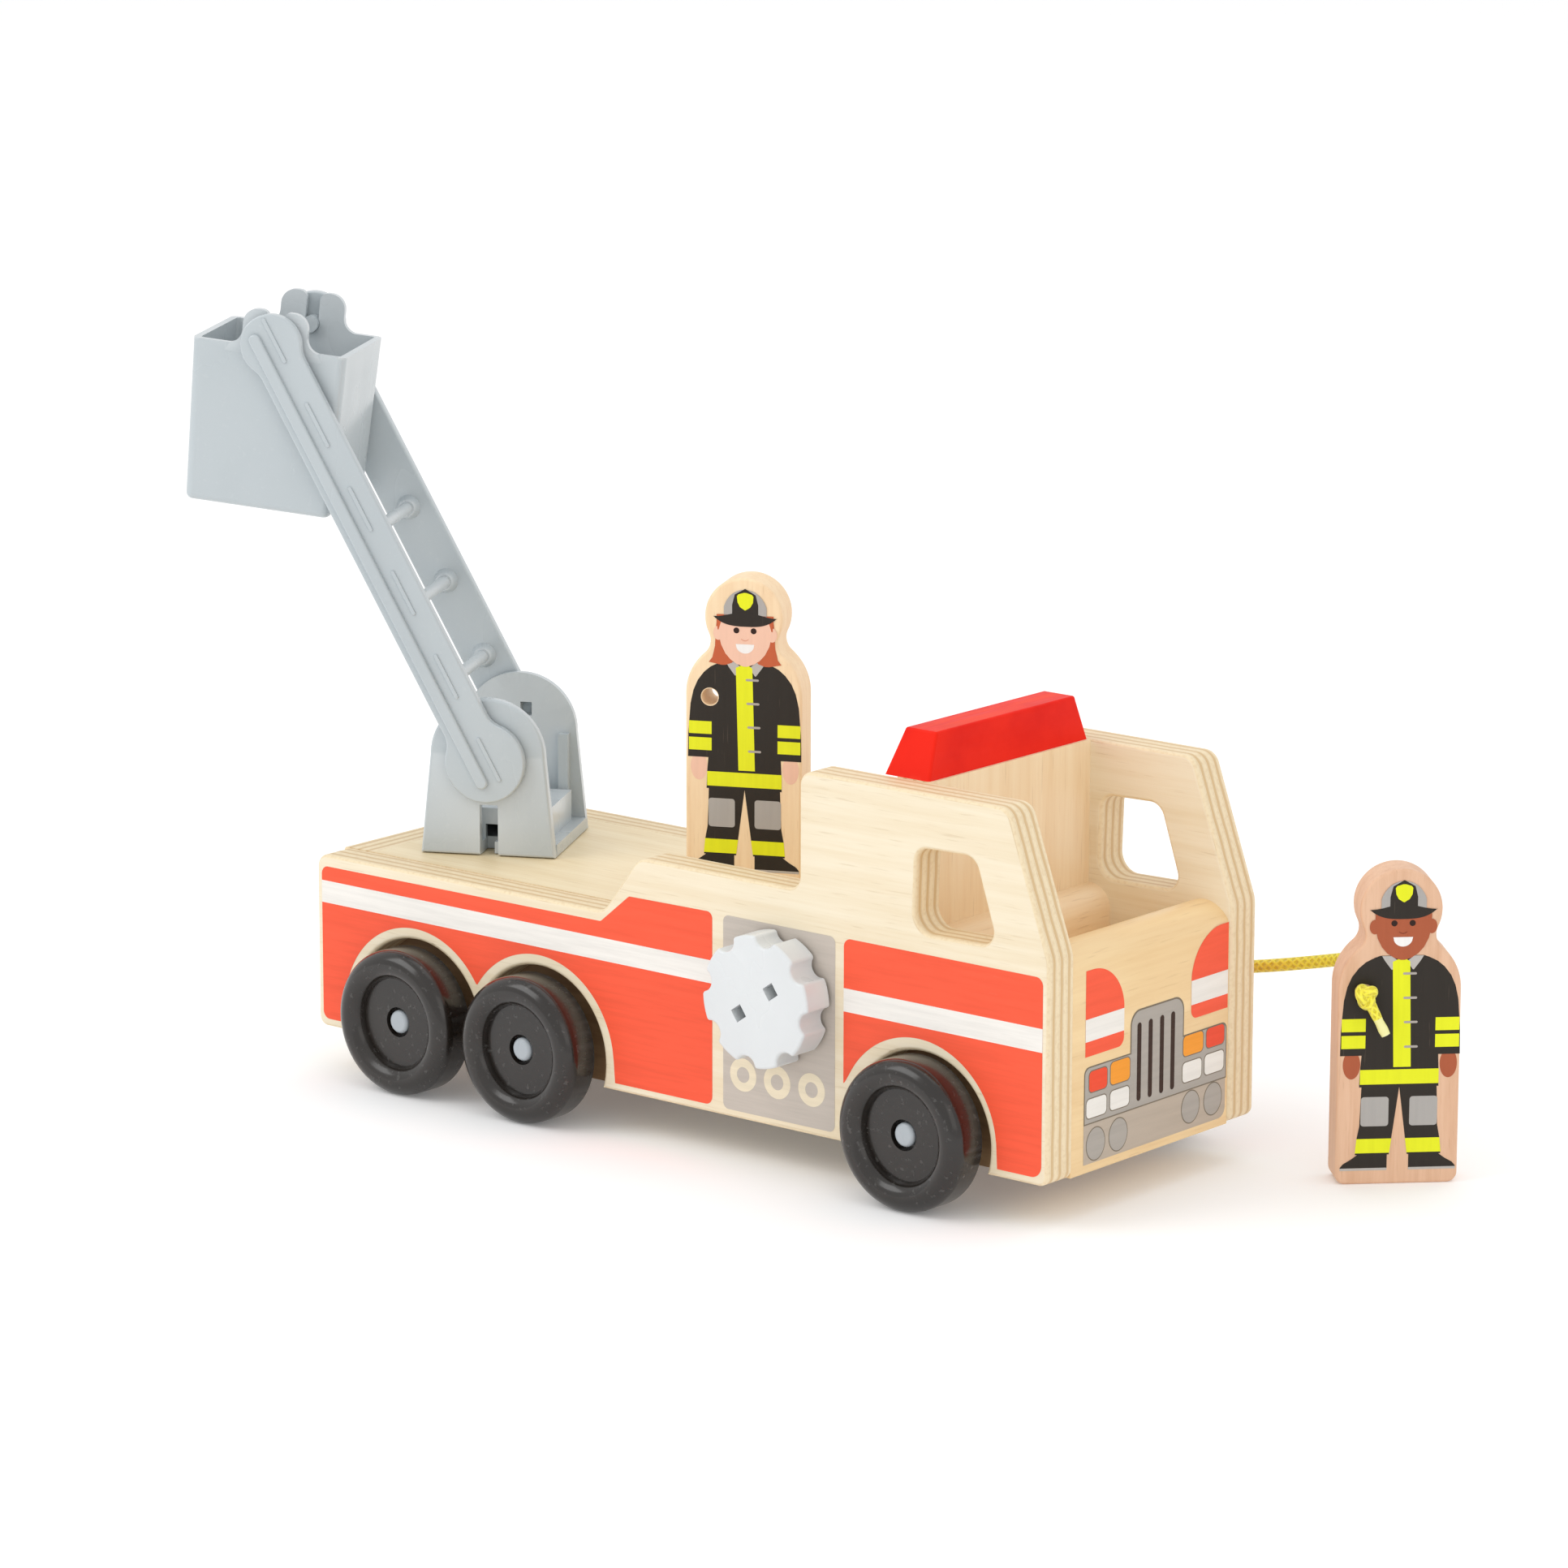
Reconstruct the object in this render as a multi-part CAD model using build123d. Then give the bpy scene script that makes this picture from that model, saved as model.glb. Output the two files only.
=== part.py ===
from build123d import *
import math
import os

# Toy fire engine in plywood and moulded plastic, millimetres, +Z up.
# The truck frame used below has x = 0 at the rear edge of the side panels, y = 0 on the
# truck's centre line and z = 0 on the floor. The truck drives towards +X.
# Every node is shifted at the end, so that the part's origin is the middle of its footprint.

# ---- driving dimensions ----
ORIGIN_X = 138.0
ORIGIN_Y = 6.88

PLY = 12.0
BODY_WIDTH = 98.0
BODY_LENGTH = 276.5
SILL_Z = 13.0
BED_Z = 66.2
SHOULDER_Z = 84.1
ROOF_Z = 118.7
EASE = 1.2

OUTER_Y = BODY_WIDTH / 2
INNER_Y = OUTER_Y - PLY

STEP_FOOT_X = 113.9
STEP_HEAD_X = 127.5
CAB_REAR_X = 187.6
ROOF_FRONT_X = 261.8
BROW_Z = 77.5

WHEEL_R = 22.0
WHEEL_X = {"rear": 40.0, "middle": 89.0, "front": 232.3}
ARCH_Z = 20.3
REAR_ARCH_R = 25.4
FRONT_ARCH_R = 24.2
AXLE_R = 3.5
RUNNING = 0.08

DECK_THICKNESS = 6.0
DECK_UNDERSIDE_Z = BED_Z - DECK_THICKNESS
BLOCK_BOTTOM_Z = 11.0
REAR_BLOCK = (PLY, 116.0)
FRONT_BLOCK = (208.0, 256.3)
NOSE_X = 275.7
WALL_FRONT_X = 225.5
SEAT_FRONT_X = 233.3
SEAT_Z = 76.5

TURRET_X = 32.3
TURRET_YAW = 27.5
TURRET_GAP = 0.3
EAR_OUTER_Y = 21.6
EAR_THICKNESS = 3.0
PIVOT_Z = 95.5
PIVOT_PIN_R = 3.0

RAIL_LENGTH = 139.6
RAIL_INNER_Y = 22.0
RAIL_THICKNESS = 3.2
LADDER_LEAN = 27.5
BUCKET_PIN_R = 2.5
BUCKET_TILT = 6.0
RUNG_PLACES = (26.0, 51.5, 76.6)

WINCH_X = 180.4
WINCH_Z = 52.2
WINCH_SHAFT_R = 2.0
KNOB_R = 19.4
KNOB_FACE_Y = -60.0
KNOB_THICKNESS = 9.8

HOSE_R = 1.9
EYELET_X = 192.5
EYELET_Z = 46.8

CREW_HEIGHT = 92.0
CREW_HALF_WIDTH = 17.6
CREW_THICKNESS = 12.0
CHEST_HOLE_R = 2.5
CHEST_HOLE_X = -10.2
CHEST_HOLE_Z = 56.1
HOSE_CREW = (322.8, 54.4, 45.0)
BAY_CREW = (124.0, 2.7, 25.3)

os.makedirs("parts", exist_ok=True)


# ---- helpers ----
def slab(outline, y_low, y_high):
    """A plate whose outline is drawn in X and Z, from y_low to y_high."""
    face = Plane.XZ.offset(-y_low) * outline
    return extrude(face, amount=y_low - y_high)


def block(x_low, x_high, y_low, y_high, z_low, z_high):
    """A plain block between two corners."""
    size = (x_high - x_low, y_high - y_low, z_high - z_low)
    centre = ((x_low + x_high) / 2, (y_low + y_high) / 2, (z_low + z_high) / 2)
    return Pos(*centre) * Box(*size)


def rod_y(radius, x, z, y_low, y_high):
    """A round bar along Y."""
    return Pos(x, (y_low + y_high) / 2, z) * Rot(90, 0, 0) * Cylinder(radius, y_high - y_low)


def cone_y(radius_low, radius_high, x, z, y_low, y_high):
    """A round boss along Y whose radius changes evenly from y_low to y_high."""
    return Pos(x, (y_low + y_high) / 2, z) * Rot(-90, 0, 0) * Cone(radius_low, radius_high, y_high - y_low)


def rod_z(radius, x, y, z_low, z_high):
    """A round bar along Z."""
    return Pos(x, y, (z_low + z_high) / 2) * Cylinder(radius, z_high - z_low)


def closed_outline(points, radii):
    """A filled outline with one corner radius for each point."""
    return make_face(FilletPolyline(*points, radius=radii, close=True))


def face_edges(solid, y):
    """The edges that lie flat in the plane at y."""
    return solid.edges().filter_by_position(Axis.Y, y - 0.01, y + 0.01)


# ---- plywood body ----
DOWEL_R = 3.0
DOWEL_BORE_R = 3.05
DOWEL_PLACES = ((6.0, 30.0), (6.0, 54.0), (64.5, 54.0), (105.0, 54.0),
                (219.5, 100.0), (219.5, 70.0), (250.0, 54.0), (266.0, 24.0), (266.0, 58.0))
DOWEL_IN_PANEL = 6.0
DOWEL_IN_BLOCK = 10.0


def dowel_set(side, radius, slack):
    """All the dowels of one side, or their bores when slack is added to their ends."""
    low = INNER_Y - DOWEL_IN_BLOCK - slack
    high = INNER_Y + DOWEL_IN_PANEL + slack
    pins = [rod_y(radius, x, z, min(side * low, side * high), max(side * low, side * high))
            for x, z in DOWEL_PLACES]
    return pins


def side_outline():
    """The cab, crew bay and bed profile, with wheel arches and the door window cut out."""
    body = closed_outline(
        [(0, SILL_Z), (BODY_LENGTH, SILL_Z), (BODY_LENGTH, BROW_Z), (ROOF_FRONT_X, ROOF_Z),
         (CAB_REAR_X, ROOF_Z), (CAB_REAR_X, SHOULDER_Z), (STEP_HEAD_X, SHOULDER_Z),
         (STEP_FOOT_X, BED_Z), (0, BED_Z)],
        [3, 3, 9, 5, 4, 4, 6, 5, 4])
    for name, x in WHEEL_X.items():
        radius = FRONT_ARCH_R if name == "front" else REAR_ARCH_R
        body -= Pos(x, ARCH_Z) * Circle(radius)
    between_x = (WHEEL_X["rear"] + WHEEL_X["middle"]) / 2
    body -= Pos(between_x, SILL_Z) * Rectangle(20.0, 8.0)
    cusp = [v for v in body.vertices() if abs(v.X - between_x) < 1 and v.Y > SILL_Z + 5]
    body = fillet(cusp, 2.0)
    window = closed_outline(
        [(228.9, 78.3), (258.3, 78.9), (250.3, 103.3), (229.7, 102.8)], [6, 4, 5, 4])
    return body - window


def side_panel(side):
    """One outer side, 12 mm plywood, with all its long edges eased round."""
    y_low = min(side * INNER_Y, side * OUTER_Y)
    y_high = max(side * INNER_Y, side * OUTER_Y)
    panel = slab(side_outline(), y_low, y_high)
    panel = fillet(face_edges(panel, y_low) + face_edges(panel, y_high), EASE)
    for bore in dowel_set(side, DOWEL_BORE_R, 0.2):
        panel -= bore
    return panel


def right_side_panel():
    """The side with the winch knob: its shaft runs in a through bore."""
    return side_panel(-1) - rod_y(WINCH_SHAFT_R + RUNNING, WINCH_X, WINCH_Z, -OUTER_Y - 1, -INNER_Y + 1)


def left_side_panel():
    """The side with the hose eyelet: the winch shaft ends in a blind bore."""
    panel = side_panel(1)
    panel -= rod_y(WINCH_SHAFT_R + RUNNING, WINCH_X, WINCH_Z, INNER_Y - 1, INNER_Y + 6.5)
    panel -= rod_y(EYELET_BARREL_R + 0.02, EYELET_X, EYELET_Z, INNER_Y - 1, OUTER_Y + 1)
    return panel


TAIL_INSET = 0.2


def rear_board():
    """The tail board between the sides."""
    board = block(TAIL_INSET, PLY, -INNER_Y, INNER_Y, SILL_Z, BED_Z)
    board = fillet(board.edges().filter_by(Axis.Y).group_by(Axis.X)[0], EASE)
    return cut_dowels(board)


def cut_dowels(piece):
    """Bore a block for the dowels of both sides."""
    for side in (-1, 1):
        for bore in dowel_set(side, DOWEL_BORE_R, 0.2):
            piece -= bore
    return piece


SPIGOT_R = 7.9
POCKET_R = 13.0
POCKET_DEPTH = 18.0


def bed_deck():
    """The load bed and crew bay floor in one thin plywood sheet."""
    deck = block(PLY, WALL_FRONT_X - PLY, -INNER_Y, INNER_Y, DECK_UNDERSIDE_Z, BED_Z)
    return deck - rod_z(SPIGOT_R + RUNNING, TURRET_X, 0, DECK_UNDERSIDE_Z - 1, BED_Z + 1)


def axle_bore(name):
    """The running bore of one axle."""
    return rod_y(AXLE_R + RUNNING, WHEEL_X[name], WHEEL_R, -INNER_Y - 1, INNER_Y + 1)


def rear_axle_block():
    """The softwood block that carries two axles and hides the turret's screw."""
    body = block(*REAR_BLOCK, -INNER_Y, INNER_Y, BLOCK_BOTTOM_Z, DECK_UNDERSIDE_Z)
    body -= axle_bore("rear")
    body -= axle_bore("middle")
    body -= rod_z(POCKET_R, TURRET_X, 0, DECK_UNDERSIDE_Z - POCKET_DEPTH, DECK_UNDERSIDE_Z + 1)
    return cut_dowels(body)


def front_axle_block():
    """The softwood block under the cab."""
    body = block(*FRONT_BLOCK, -INNER_Y, INNER_Y, BLOCK_BOTTOM_Z, DECK_UNDERSIDE_Z)
    body -= axle_bore("front")
    return cut_dowels(body)


def front_block():
    """The nose: a flat face below a rounded brow that sweeps down to the cab floor."""
    step_x = FRONT_BLOCK[1]
    brow = Spline((NOSE_X, 71.0), (269.0, 77.6), (257.0, 73.4), (245.0, 64.6), (SEAT_FRONT_X, 61.7),
                  tangents=((0, 1), (-1, 0)), tangent_scalars=(0.9, 1.0))
    rest = Polyline((SEAT_FRONT_X, 61.7), (SEAT_FRONT_X, DECK_UNDERSIDE_Z), (step_x, DECK_UNDERSIDE_Z),
                    (step_x, SILL_Z), (NOSE_X, SILL_Z), (NOSE_X, 71.0))
    nose = slab(make_face(brow + rest), -INNER_Y, INNER_Y)
    return cut_dowels(nose)


def cab_back_wall():
    """The upright board behind the seat, which also carries the light bar."""
    wall = block(WALL_FRONT_X - PLY, WALL_FRONT_X, -INNER_Y, INNER_Y, DECK_UNDERSIDE_Z, ROOF_Z)
    return cut_dowels(wall)


def cab_seat():
    """The bench: an upright board with a rounded front edge on top."""
    seat = block(WALL_FRONT_X, SEAT_FRONT_X, -INNER_Y, INNER_Y, DECK_UNDERSIDE_Z, SEAT_Z)
    front_edge = seat.edges().filter_by(Axis.Y).group_by(Axis.Z)[-1].sort_by(Axis.X)[-1]
    return fillet(front_edge, 7.0)


BAR_HEIGHT = 13.3
BAR_FOOT_X = 216.6
BAR_FOOT = (16.0, 2 * INNER_Y - 0.4)
BAR_TOP_X = 217.9
BAR_TOP = (11.2, 64.0)
BAR_EASE = 0.8


def light_bar():
    """A bar with sloping ends and back, standing on the back wall's top edge."""
    foot = Plane.XY.offset(ROOF_Z) * Pos(BAR_FOOT_X, 0) * Rectangle(*BAR_FOOT)
    top = Plane.XY.offset(ROOF_Z + BAR_HEIGHT) * Pos(BAR_TOP_X, 0) * Rectangle(*BAR_TOP)
    bar = loft([foot.face(), top.face()])
    above_foot = bar.edges().filter_by_position(Axis.Z, ROOF_Z + 1, ROOF_Z + BAR_HEIGHT + 0.7)
    return fillet(above_foot, BAR_EASE)


# ---- wheels and axles ----
BEAD_R = 4.35
DISC_R = 13.3
WHEEL_OUTER_Y = 61.2
WHEEL_INNER_Y = 47.5
HUB_END_Y = INNER_Y + 0.5
HUB_R = 6.5
HUB_MOUTH_R = 4.55
HUB_MOUTH_DEPTH = 3.0
DISC_Y = 57.0
DISC_BACK_Y = 52.0


def wheel(name, side):
    """A moulded wheel: a round bead about a flat sunk disc, and a hub boss towards the body."""
    bead_y = WHEEL_OUTER_Y - BEAD_R
    bead_centre_r = WHEEL_R - BEAD_R
    mouth_y = DISC_Y - HUB_MOUTH_DEPTH
    profile = Polyline((AXLE_R, HUB_END_Y), (AXLE_R, mouth_y), (HUB_MOUTH_R, mouth_y),
                       (HUB_MOUTH_R, DISC_Y), (DISC_R, DISC_Y), (DISC_R, bead_y + 0.2))
    bead = ThreePointArc((DISC_R, bead_y + 0.2), (bead_centre_r, WHEEL_OUTER_Y), (WHEEL_R, bead_y))
    back = Polyline((WHEEL_R, bead_y), (WHEEL_R, WHEEL_INNER_Y + 2), (WHEEL_R - 2, WHEEL_INNER_Y),
                    (15.0, WHEEL_INNER_Y), (13.0, DISC_BACK_Y), (HUB_R + 0.5, DISC_BACK_Y),
                    (HUB_R, HUB_END_Y),
                    (AXLE_R, HUB_END_Y))
    section = make_face(profile + bead + back)
    solid = revolve(section, Axis.Y)
    if side < 0:
        solid = mirror(solid, Plane.XZ)
    return Pos(WHEEL_X[name], 0, WHEEL_R) * solid


def axle(name):
    """A round axle with domed ends, pressed into both wheels."""
    end_y = 57.2
    bar = rod_y(AXLE_R, WHEEL_X[name], WHEEL_R, -end_y, end_y)
    return fillet(bar.edges(), 1.2)


# ---- winch ----
SPOOL_CORE_R = 3.5
SPOOL_FLANGE_R = 7.6
SPOOL_HALF_LENGTH = 30.0
FLANGE_THICKNESS = 1.5
WINDING_R = SPOOL_CORE_R + 2 * HOSE_R
NOTCH_COUNT = 8
NOTCH_PHASE = 35.0
NOTCH_R = 3.4
KNOB_HOLE = 4.0
KNOB_HOLE_REACH = 7.1
KNOB_SOCKET_DEPTH = 7.0


def winch_knob():
    """The hand wheel, with rounded notches and two square holes for a toy wrench."""
    outline = Circle(KNOB_R)
    for i in range(NOTCH_COUNT):
        angle = math.radians(NOTCH_PHASE + i * 360 / NOTCH_COUNT)
        outline -= Pos((KNOB_R + 0.6) * math.cos(angle), (KNOB_R + 0.6) * math.sin(angle)) * Circle(NOTCH_R)
    outline = fillet(outline.vertices(), 1.0)
    back_y = KNOB_FACE_Y + KNOB_THICKNESS
    knob = slab(outline, KNOB_FACE_Y, back_y)
    knob = fillet(face_edges(knob, KNOB_FACE_Y), 0.9)
    for turn in (0, 180):
        angle = NOTCH_PHASE + turn
        hole = Rot(0, 0, angle) * Pos(KNOB_HOLE_REACH, 0) * Rectangle(KNOB_HOLE, KNOB_HOLE)
        knob -= slab(hole, KNOB_FACE_Y - 1, back_y + 1)
    knob -= rod_y(WINCH_SHAFT_R, 0, 0, back_y - KNOB_SOCKET_DEPTH, back_y + 1)
    return Pos(WINCH_X, 0, WINCH_Z) * knob


def winch_shaft():
    """The steel rod through the right panel, the spool and into the left panel."""
    outer_end_y = KNOB_FACE_Y + KNOB_THICKNESS - KNOB_SOCKET_DEPTH
    return rod_y(WINCH_SHAFT_R, WINCH_X, WINCH_Z, outer_end_y, INNER_Y + 6)


def hose_spool():
    """A flanged core pressed onto the shaft."""
    spool = rod_y(SPOOL_CORE_R, WINCH_X, WINCH_Z, -SPOOL_HALF_LENGTH, SPOOL_HALF_LENGTH)
    for side in (-1, 1):
        ends = sorted((side * SPOOL_HALF_LENGTH, side * (SPOOL_HALF_LENGTH - FLANGE_THICKNESS)))
        spool += rod_y(SPOOL_FLANGE_R, WINCH_X, WINCH_Z, *ends)
    return spool - rod_y(WINCH_SHAFT_R, WINCH_X, WINCH_Z, -SPOOL_HALF_LENGTH - 1, SPOOL_HALF_LENGTH + 1)


def hose_winding():
    """The hose wound on the spool in one layer, as the closed shape of its turns."""
    half = SPOOL_HALF_LENGTH - FLANGE_THICKNESS
    ring = rod_y(WINDING_R, WINCH_X, WINCH_Z, -half, half)
    return ring - rod_y(SPOOL_CORE_R, WINCH_X, WINCH_Z, -half - 1, half + 1)


# ---- hose ----
EYELET_BARREL_R = 3.4
EYELET_BORE_R = 2.3


def hose_eyelet():
    """A plastic bush through the left panel, with a thin flange outside."""
    bush = rod_y(EYELET_BARREL_R, EYELET_X, EYELET_Z, INNER_Y, OUTER_Y)
    flange = rod_y(5.6, EYELET_X, EYELET_Z, OUTER_Y, OUTER_Y + 1.2)
    flange = fillet(flange.edges().sort_by(Axis.Y)[-1], 0.6)
    return bush + flange - rod_y(EYELET_BORE_R, EYELET_X, EYELET_Z, INNER_Y - 1, OUTER_Y + 2)


def crew_place(place):
    """The location of a crew figure: the middle of its front bottom edge, and its turn."""
    x, y, yaw = place
    return Pos(x, y, 0) * Rot(0, 0, yaw)


def chest_point(back):
    """A point on the hose figure's chest hole axis, back mm behind its front face."""
    x, y, yaw = HOSE_CREW
    angle = math.radians(yaw)
    return (x + CHEST_HOLE_X * math.cos(angle) - back * math.sin(angle),
            y + CHEST_HOLE_X * math.sin(angle) + back * math.cos(angle), CHEST_HOLE_Z)


# The hose's route: off the winding, through the eyelet, round the truck's side with a slack
# sag, and through the hole in the figure's chest to the knot.
HOSE_ROUTE = [
    (188.3, 17.0, EYELET_Z),
    (EYELET_X, 31.5, EYELET_Z),
    (EYELET_X, 54.0, EYELET_Z),
    (196.5, 66.0, 45.4),
    (207.0, 77.0, 43.9),
    (229.0, 81.0, 43.6),
    (247.0, 79.0, 46.2),
    (264.0, 75.0, 50.3),
    (281.0, 74.5, 54.4),
    (292.5, 74.0, 57.4),
    (299.8, 67.4, 57.5),
    chest_point(CREW_THICKNESS - 1),
    chest_point(0.6),
]


def route_radii(points):
    """The arc radius at each inner corner: 0.45 of the shorter run over tan(half the turn)."""
    radii = []
    for before, here, after in zip(points, points[1:], points[2:]):
        run_in = Vector(*here) - Vector(*before)
        run_out = Vector(*after) - Vector(*here)
        half_turn = math.radians(run_in.get_angle(run_out)) / 2
        radii.append(0.45 * min(run_in.length, run_out.length) / math.tan(half_turn))
    return radii


def hose():
    """The braided hose, a tube of straight runs joined by tangent arcs."""
    radii = route_radii(HOSE_ROUTE)
    path = FilletPolyline(*HOSE_ROUTE, radius=radii)
    start = path @ 0
    ring = Plane(origin=start, z_dir=path % 0) * Circle(HOSE_R)
    tube = sweep(ring, path=path)
    print("hose length", round(path.length, 2), "mm, radii", [round(r, 1) for r in radii])
    print("hose volume", round(tube.volume, 1), "expected", round(math.pi * HOSE_R ** 2 * path.length, 1))
    return tube


def hose_knot():
    """The knot that stops the hose in front of the chest."""
    x, y, z = chest_point(-3.0)
    turn = HOSE_CREW[2]
    return Pos(x, y, z) * Rot(0, 0, turn) * scale(Sphere(1.0), by=(3.6, 2.9, 4.1))


def hose_tip():
    """The fused end of the hose, hanging from the knot in front of the coat."""
    x, y, z = chest_point(-3.4)
    lean = Pos(x, y, z) * Rot(0, 0, HOSE_CREW[2]) * Rot(-8, 0, 0) * Rot(0, -26, 0)
    return lean * Pos(0, 0, -8.4) * Cone(1.9, 1.3, 8.2)


# ---- crew figures ----
def crew_blank():
    """The cut-out figure: straight sides, sloping shoulders, a neck and a round head."""
    head_r = 11.8
    shoulder_z = 57.0
    outline = Pos(0, shoulder_z / 2) * Rectangle(2 * CREW_HALF_WIDTH, shoulder_z)
    outline += Pos(0, shoulder_z) * Ellipse(CREW_HALF_WIDTH, 16.5)
    outline += Pos(0, CREW_HEIGHT - head_r) * Circle(head_r)
    neck = [v for v in outline.vertices() if v.Y > shoulder_z + 5 and abs(v.X) > 5]
    outline = fillet(neck, 5.0)
    feet = [v for v in outline.vertices() if v.Y < 1]
    outline = fillet(feet, 3.0)
    solid = slab(outline, 0, CREW_THICKNESS)
    solid = fillet(face_edges(solid, 0) + face_edges(solid, CREW_THICKNESS), 0.9)
    return solid - rod_y(CHEST_HOLE_R, CHEST_HOLE_X, CHEST_HOLE_Z, -1, CREW_THICKNESS + 1)


def hose_crew_figure():
    """The figure that holds the hose, standing on the floor."""
    return crew_place(HOSE_CREW) * crew_blank()


def bay_crew_figure():
    """The figure standing loose on the crew bay's floor."""
    return Pos(0, 0, BED_Z) * crew_place(BAY_CREW) * crew_blank()


# ---- turret ----
BASE_HALF_LENGTH = 20.7
BASE_PLATE = 3.6
EAR_TOP_R = 17.6
EAR_TOP_Z = 96.8
BASE_Z = BED_Z + TURRET_GAP
CROSS_BOX = (17.0, 14.6, 79.5)
CROSS_BOX_WALL = 2.4
SCREW_R = 1.8
SCREW_HEAD_R = 3.6
SCREW_HEAD_DEPTH = 2.4
WASHER_R = 11.5
WASHER_THICKNESS = 1.4


def turret_location():
    """Where the turret stands on the deck, and its turn about the vertical."""
    return Pos(TURRET_X, 0, 0) * Rot(0, 0, TURRET_YAW)


def ear_outline():
    """A tapering upright with a round top, a slot at its foot and a window above the pivot."""
    sides = Polyline((-EAR_TOP_R, EAR_TOP_Z), (-BASE_HALF_LENGTH, BASE_Z),
                     (BASE_HALF_LENGTH, BASE_Z), (EAR_TOP_R, EAR_TOP_Z))
    top = ThreePointArc((EAR_TOP_R, EAR_TOP_Z), (0, EAR_TOP_Z + EAR_TOP_R), (-EAR_TOP_R, EAR_TOP_Z))
    ear = make_face(sides + top)
    ear -= Pos(0, PIVOT_Z) * Circle(PIVOT_PIN_R + RUNNING)
    ear -= Pos(0.4, BASE_Z + 7) * Rectangle(5.6, 17.0)
    return ear - Pos(1.9, 103.2) * Rectangle(3.6, 4.2)


def turret_base():
    """The moulded bracket: a foot plate, two ears, a cross box, ribs and a round spigot."""
    ear_inner_y = EAR_OUTER_Y - EAR_THICKNESS
    plate_top = BASE_Z + BASE_PLATE
    base = block(-BASE_HALF_LENGTH, BASE_HALF_LENGTH, -ear_inner_y, ear_inner_y, BASE_Z, plate_top)
    for side in (-1, 1):
        faces = sorted((side * ear_inner_y, side * EAR_OUTER_Y))
        ear = slab(ear_outline(), *faces)
        ear = fillet(face_edges(ear, side * EAR_OUTER_Y).filter_by(
            lambda e: e.length > 30 or e.center().Z < BASE_Z + 1), 0.8)
        base += ear
        rib = sorted((side * (ear_inner_y + 0.2), side * (ear_inner_y - 3.0)))
        base += block(12.6, 15.6, *rib, plate_top - 0.2, EAR_TOP_Z - 0.5)
    half_x, half_y, top_z = CROSS_BOX
    base += block(-half_x, half_x, -half_y, half_y, plate_top - 0.2, top_z)
    inner_x = half_x - CROSS_BOX_WALL
    inner_y = half_y - CROSS_BOX_WALL
    base -= block(-inner_x, inner_x, -inner_y, inner_y, plate_top, top_z - CROSS_BOX_WALL)
    base -= block(-2.4, 1.4, -ear_inner_y - 0.1, -12.0, BASE_Z - 0.1, 74.5)
    base += rod_z(SPIGOT_R, 0, 0, DECK_UNDERSIDE_Z - 0.5, BASE_Z + 0.2)
    base -= rod_z(SCREW_R, 0, 0, DECK_UNDERSIDE_Z - 1.5, DECK_UNDERSIDE_Z + 7.2)
    return turret_location() * base


def turret_washer():
    """The large washer under the deck that keeps the spigot in its hole."""
    top_z = DECK_UNDERSIDE_Z - 0.5
    ring = rod_z(WASHER_R, 0, 0, top_z - WASHER_THICKNESS, top_z) - rod_z(SCREW_R, 0, 0, top_z - 3, top_z + 1)
    return turret_location() * ring


def turret_screw():
    """A pan-head screw up through the washer into the spigot, with a cross recess."""
    head_z = DECK_UNDERSIDE_Z - 0.5 - WASHER_THICKNESS
    screw = rod_z(SCREW_R, 0, 0, head_z, DECK_UNDERSIDE_Z + 7)
    head = rod_z(SCREW_HEAD_R, 0, 0, head_z - SCREW_HEAD_DEPTH, head_z)
    head = fillet(head.edges().sort_by(Axis.Z)[0], 1.0)
    screw += head
    for turn in (0, 90):
        screw -= Pos(0, 0, head_z - 2.0) * Rot(0, 0, turn) * Box(3.6, 0.8, 1.6)
    return turret_location() * screw


# ---- ladder ----
LOWER_DISC_R = 12.2
UPPER_DISC_R = 9.4
RAIL_HALF_WIDTH = 7.3
RUNG_R = 1.9
BOSS_ROOT_R = 4.0
BOSS_TIP_R = 2.5
BOSS_REACH = 2.8
BEAD_WIDTH = 3.6
BEAD_HEIGHT = 1.5
DASH_LENGTH = 14.8
DASH_WIDTH = 1.2
DASH_HEIGHT = 0.5
DASH_PITCH = 28.0
DASH_COUNT = 6


def ladder_location():
    """The ladder's own frame: origin on its pivot, +Z along the rails, leaning back."""
    return turret_location() * Pos(0, 0, PIVOT_Z) * Rot(0, -LADDER_LEAN, 0)


def rail_outline():
    """A straight bar between two discs, with the corners blended."""
    bar = Pos(0, RAIL_LENGTH / 2) * Rectangle(2 * RAIL_HALF_WIDTH, RAIL_LENGTH)
    bar += Circle(LOWER_DISC_R)
    bar += Pos(0, RAIL_LENGTH) * Circle(UPPER_DISC_R)
    corners = [v for v in bar.vertices() if abs(abs(v.X) - RAIL_HALF_WIDTH) < 0.1]
    return fillet(corners, 7.0)


def raised_bar(x, z_low, z_high, width, side, height):
    """A round-ended bar standing proud of a rail's outer face."""
    outer = RAIL_INNER_Y + RAIL_THICKNESS
    length = z_high - z_low
    outline = Pos(x, (z_low + z_high) / 2) * Rot(0, 0, 90) * SlotOverall(length, width)
    faces = sorted((side * (outer - 0.2), side * (outer + height)))
    bar = slab(outline, *faces)
    return fillet(face_edges(bar, side * (outer + height)), min(width, 2 * height) * 0.22)


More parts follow.
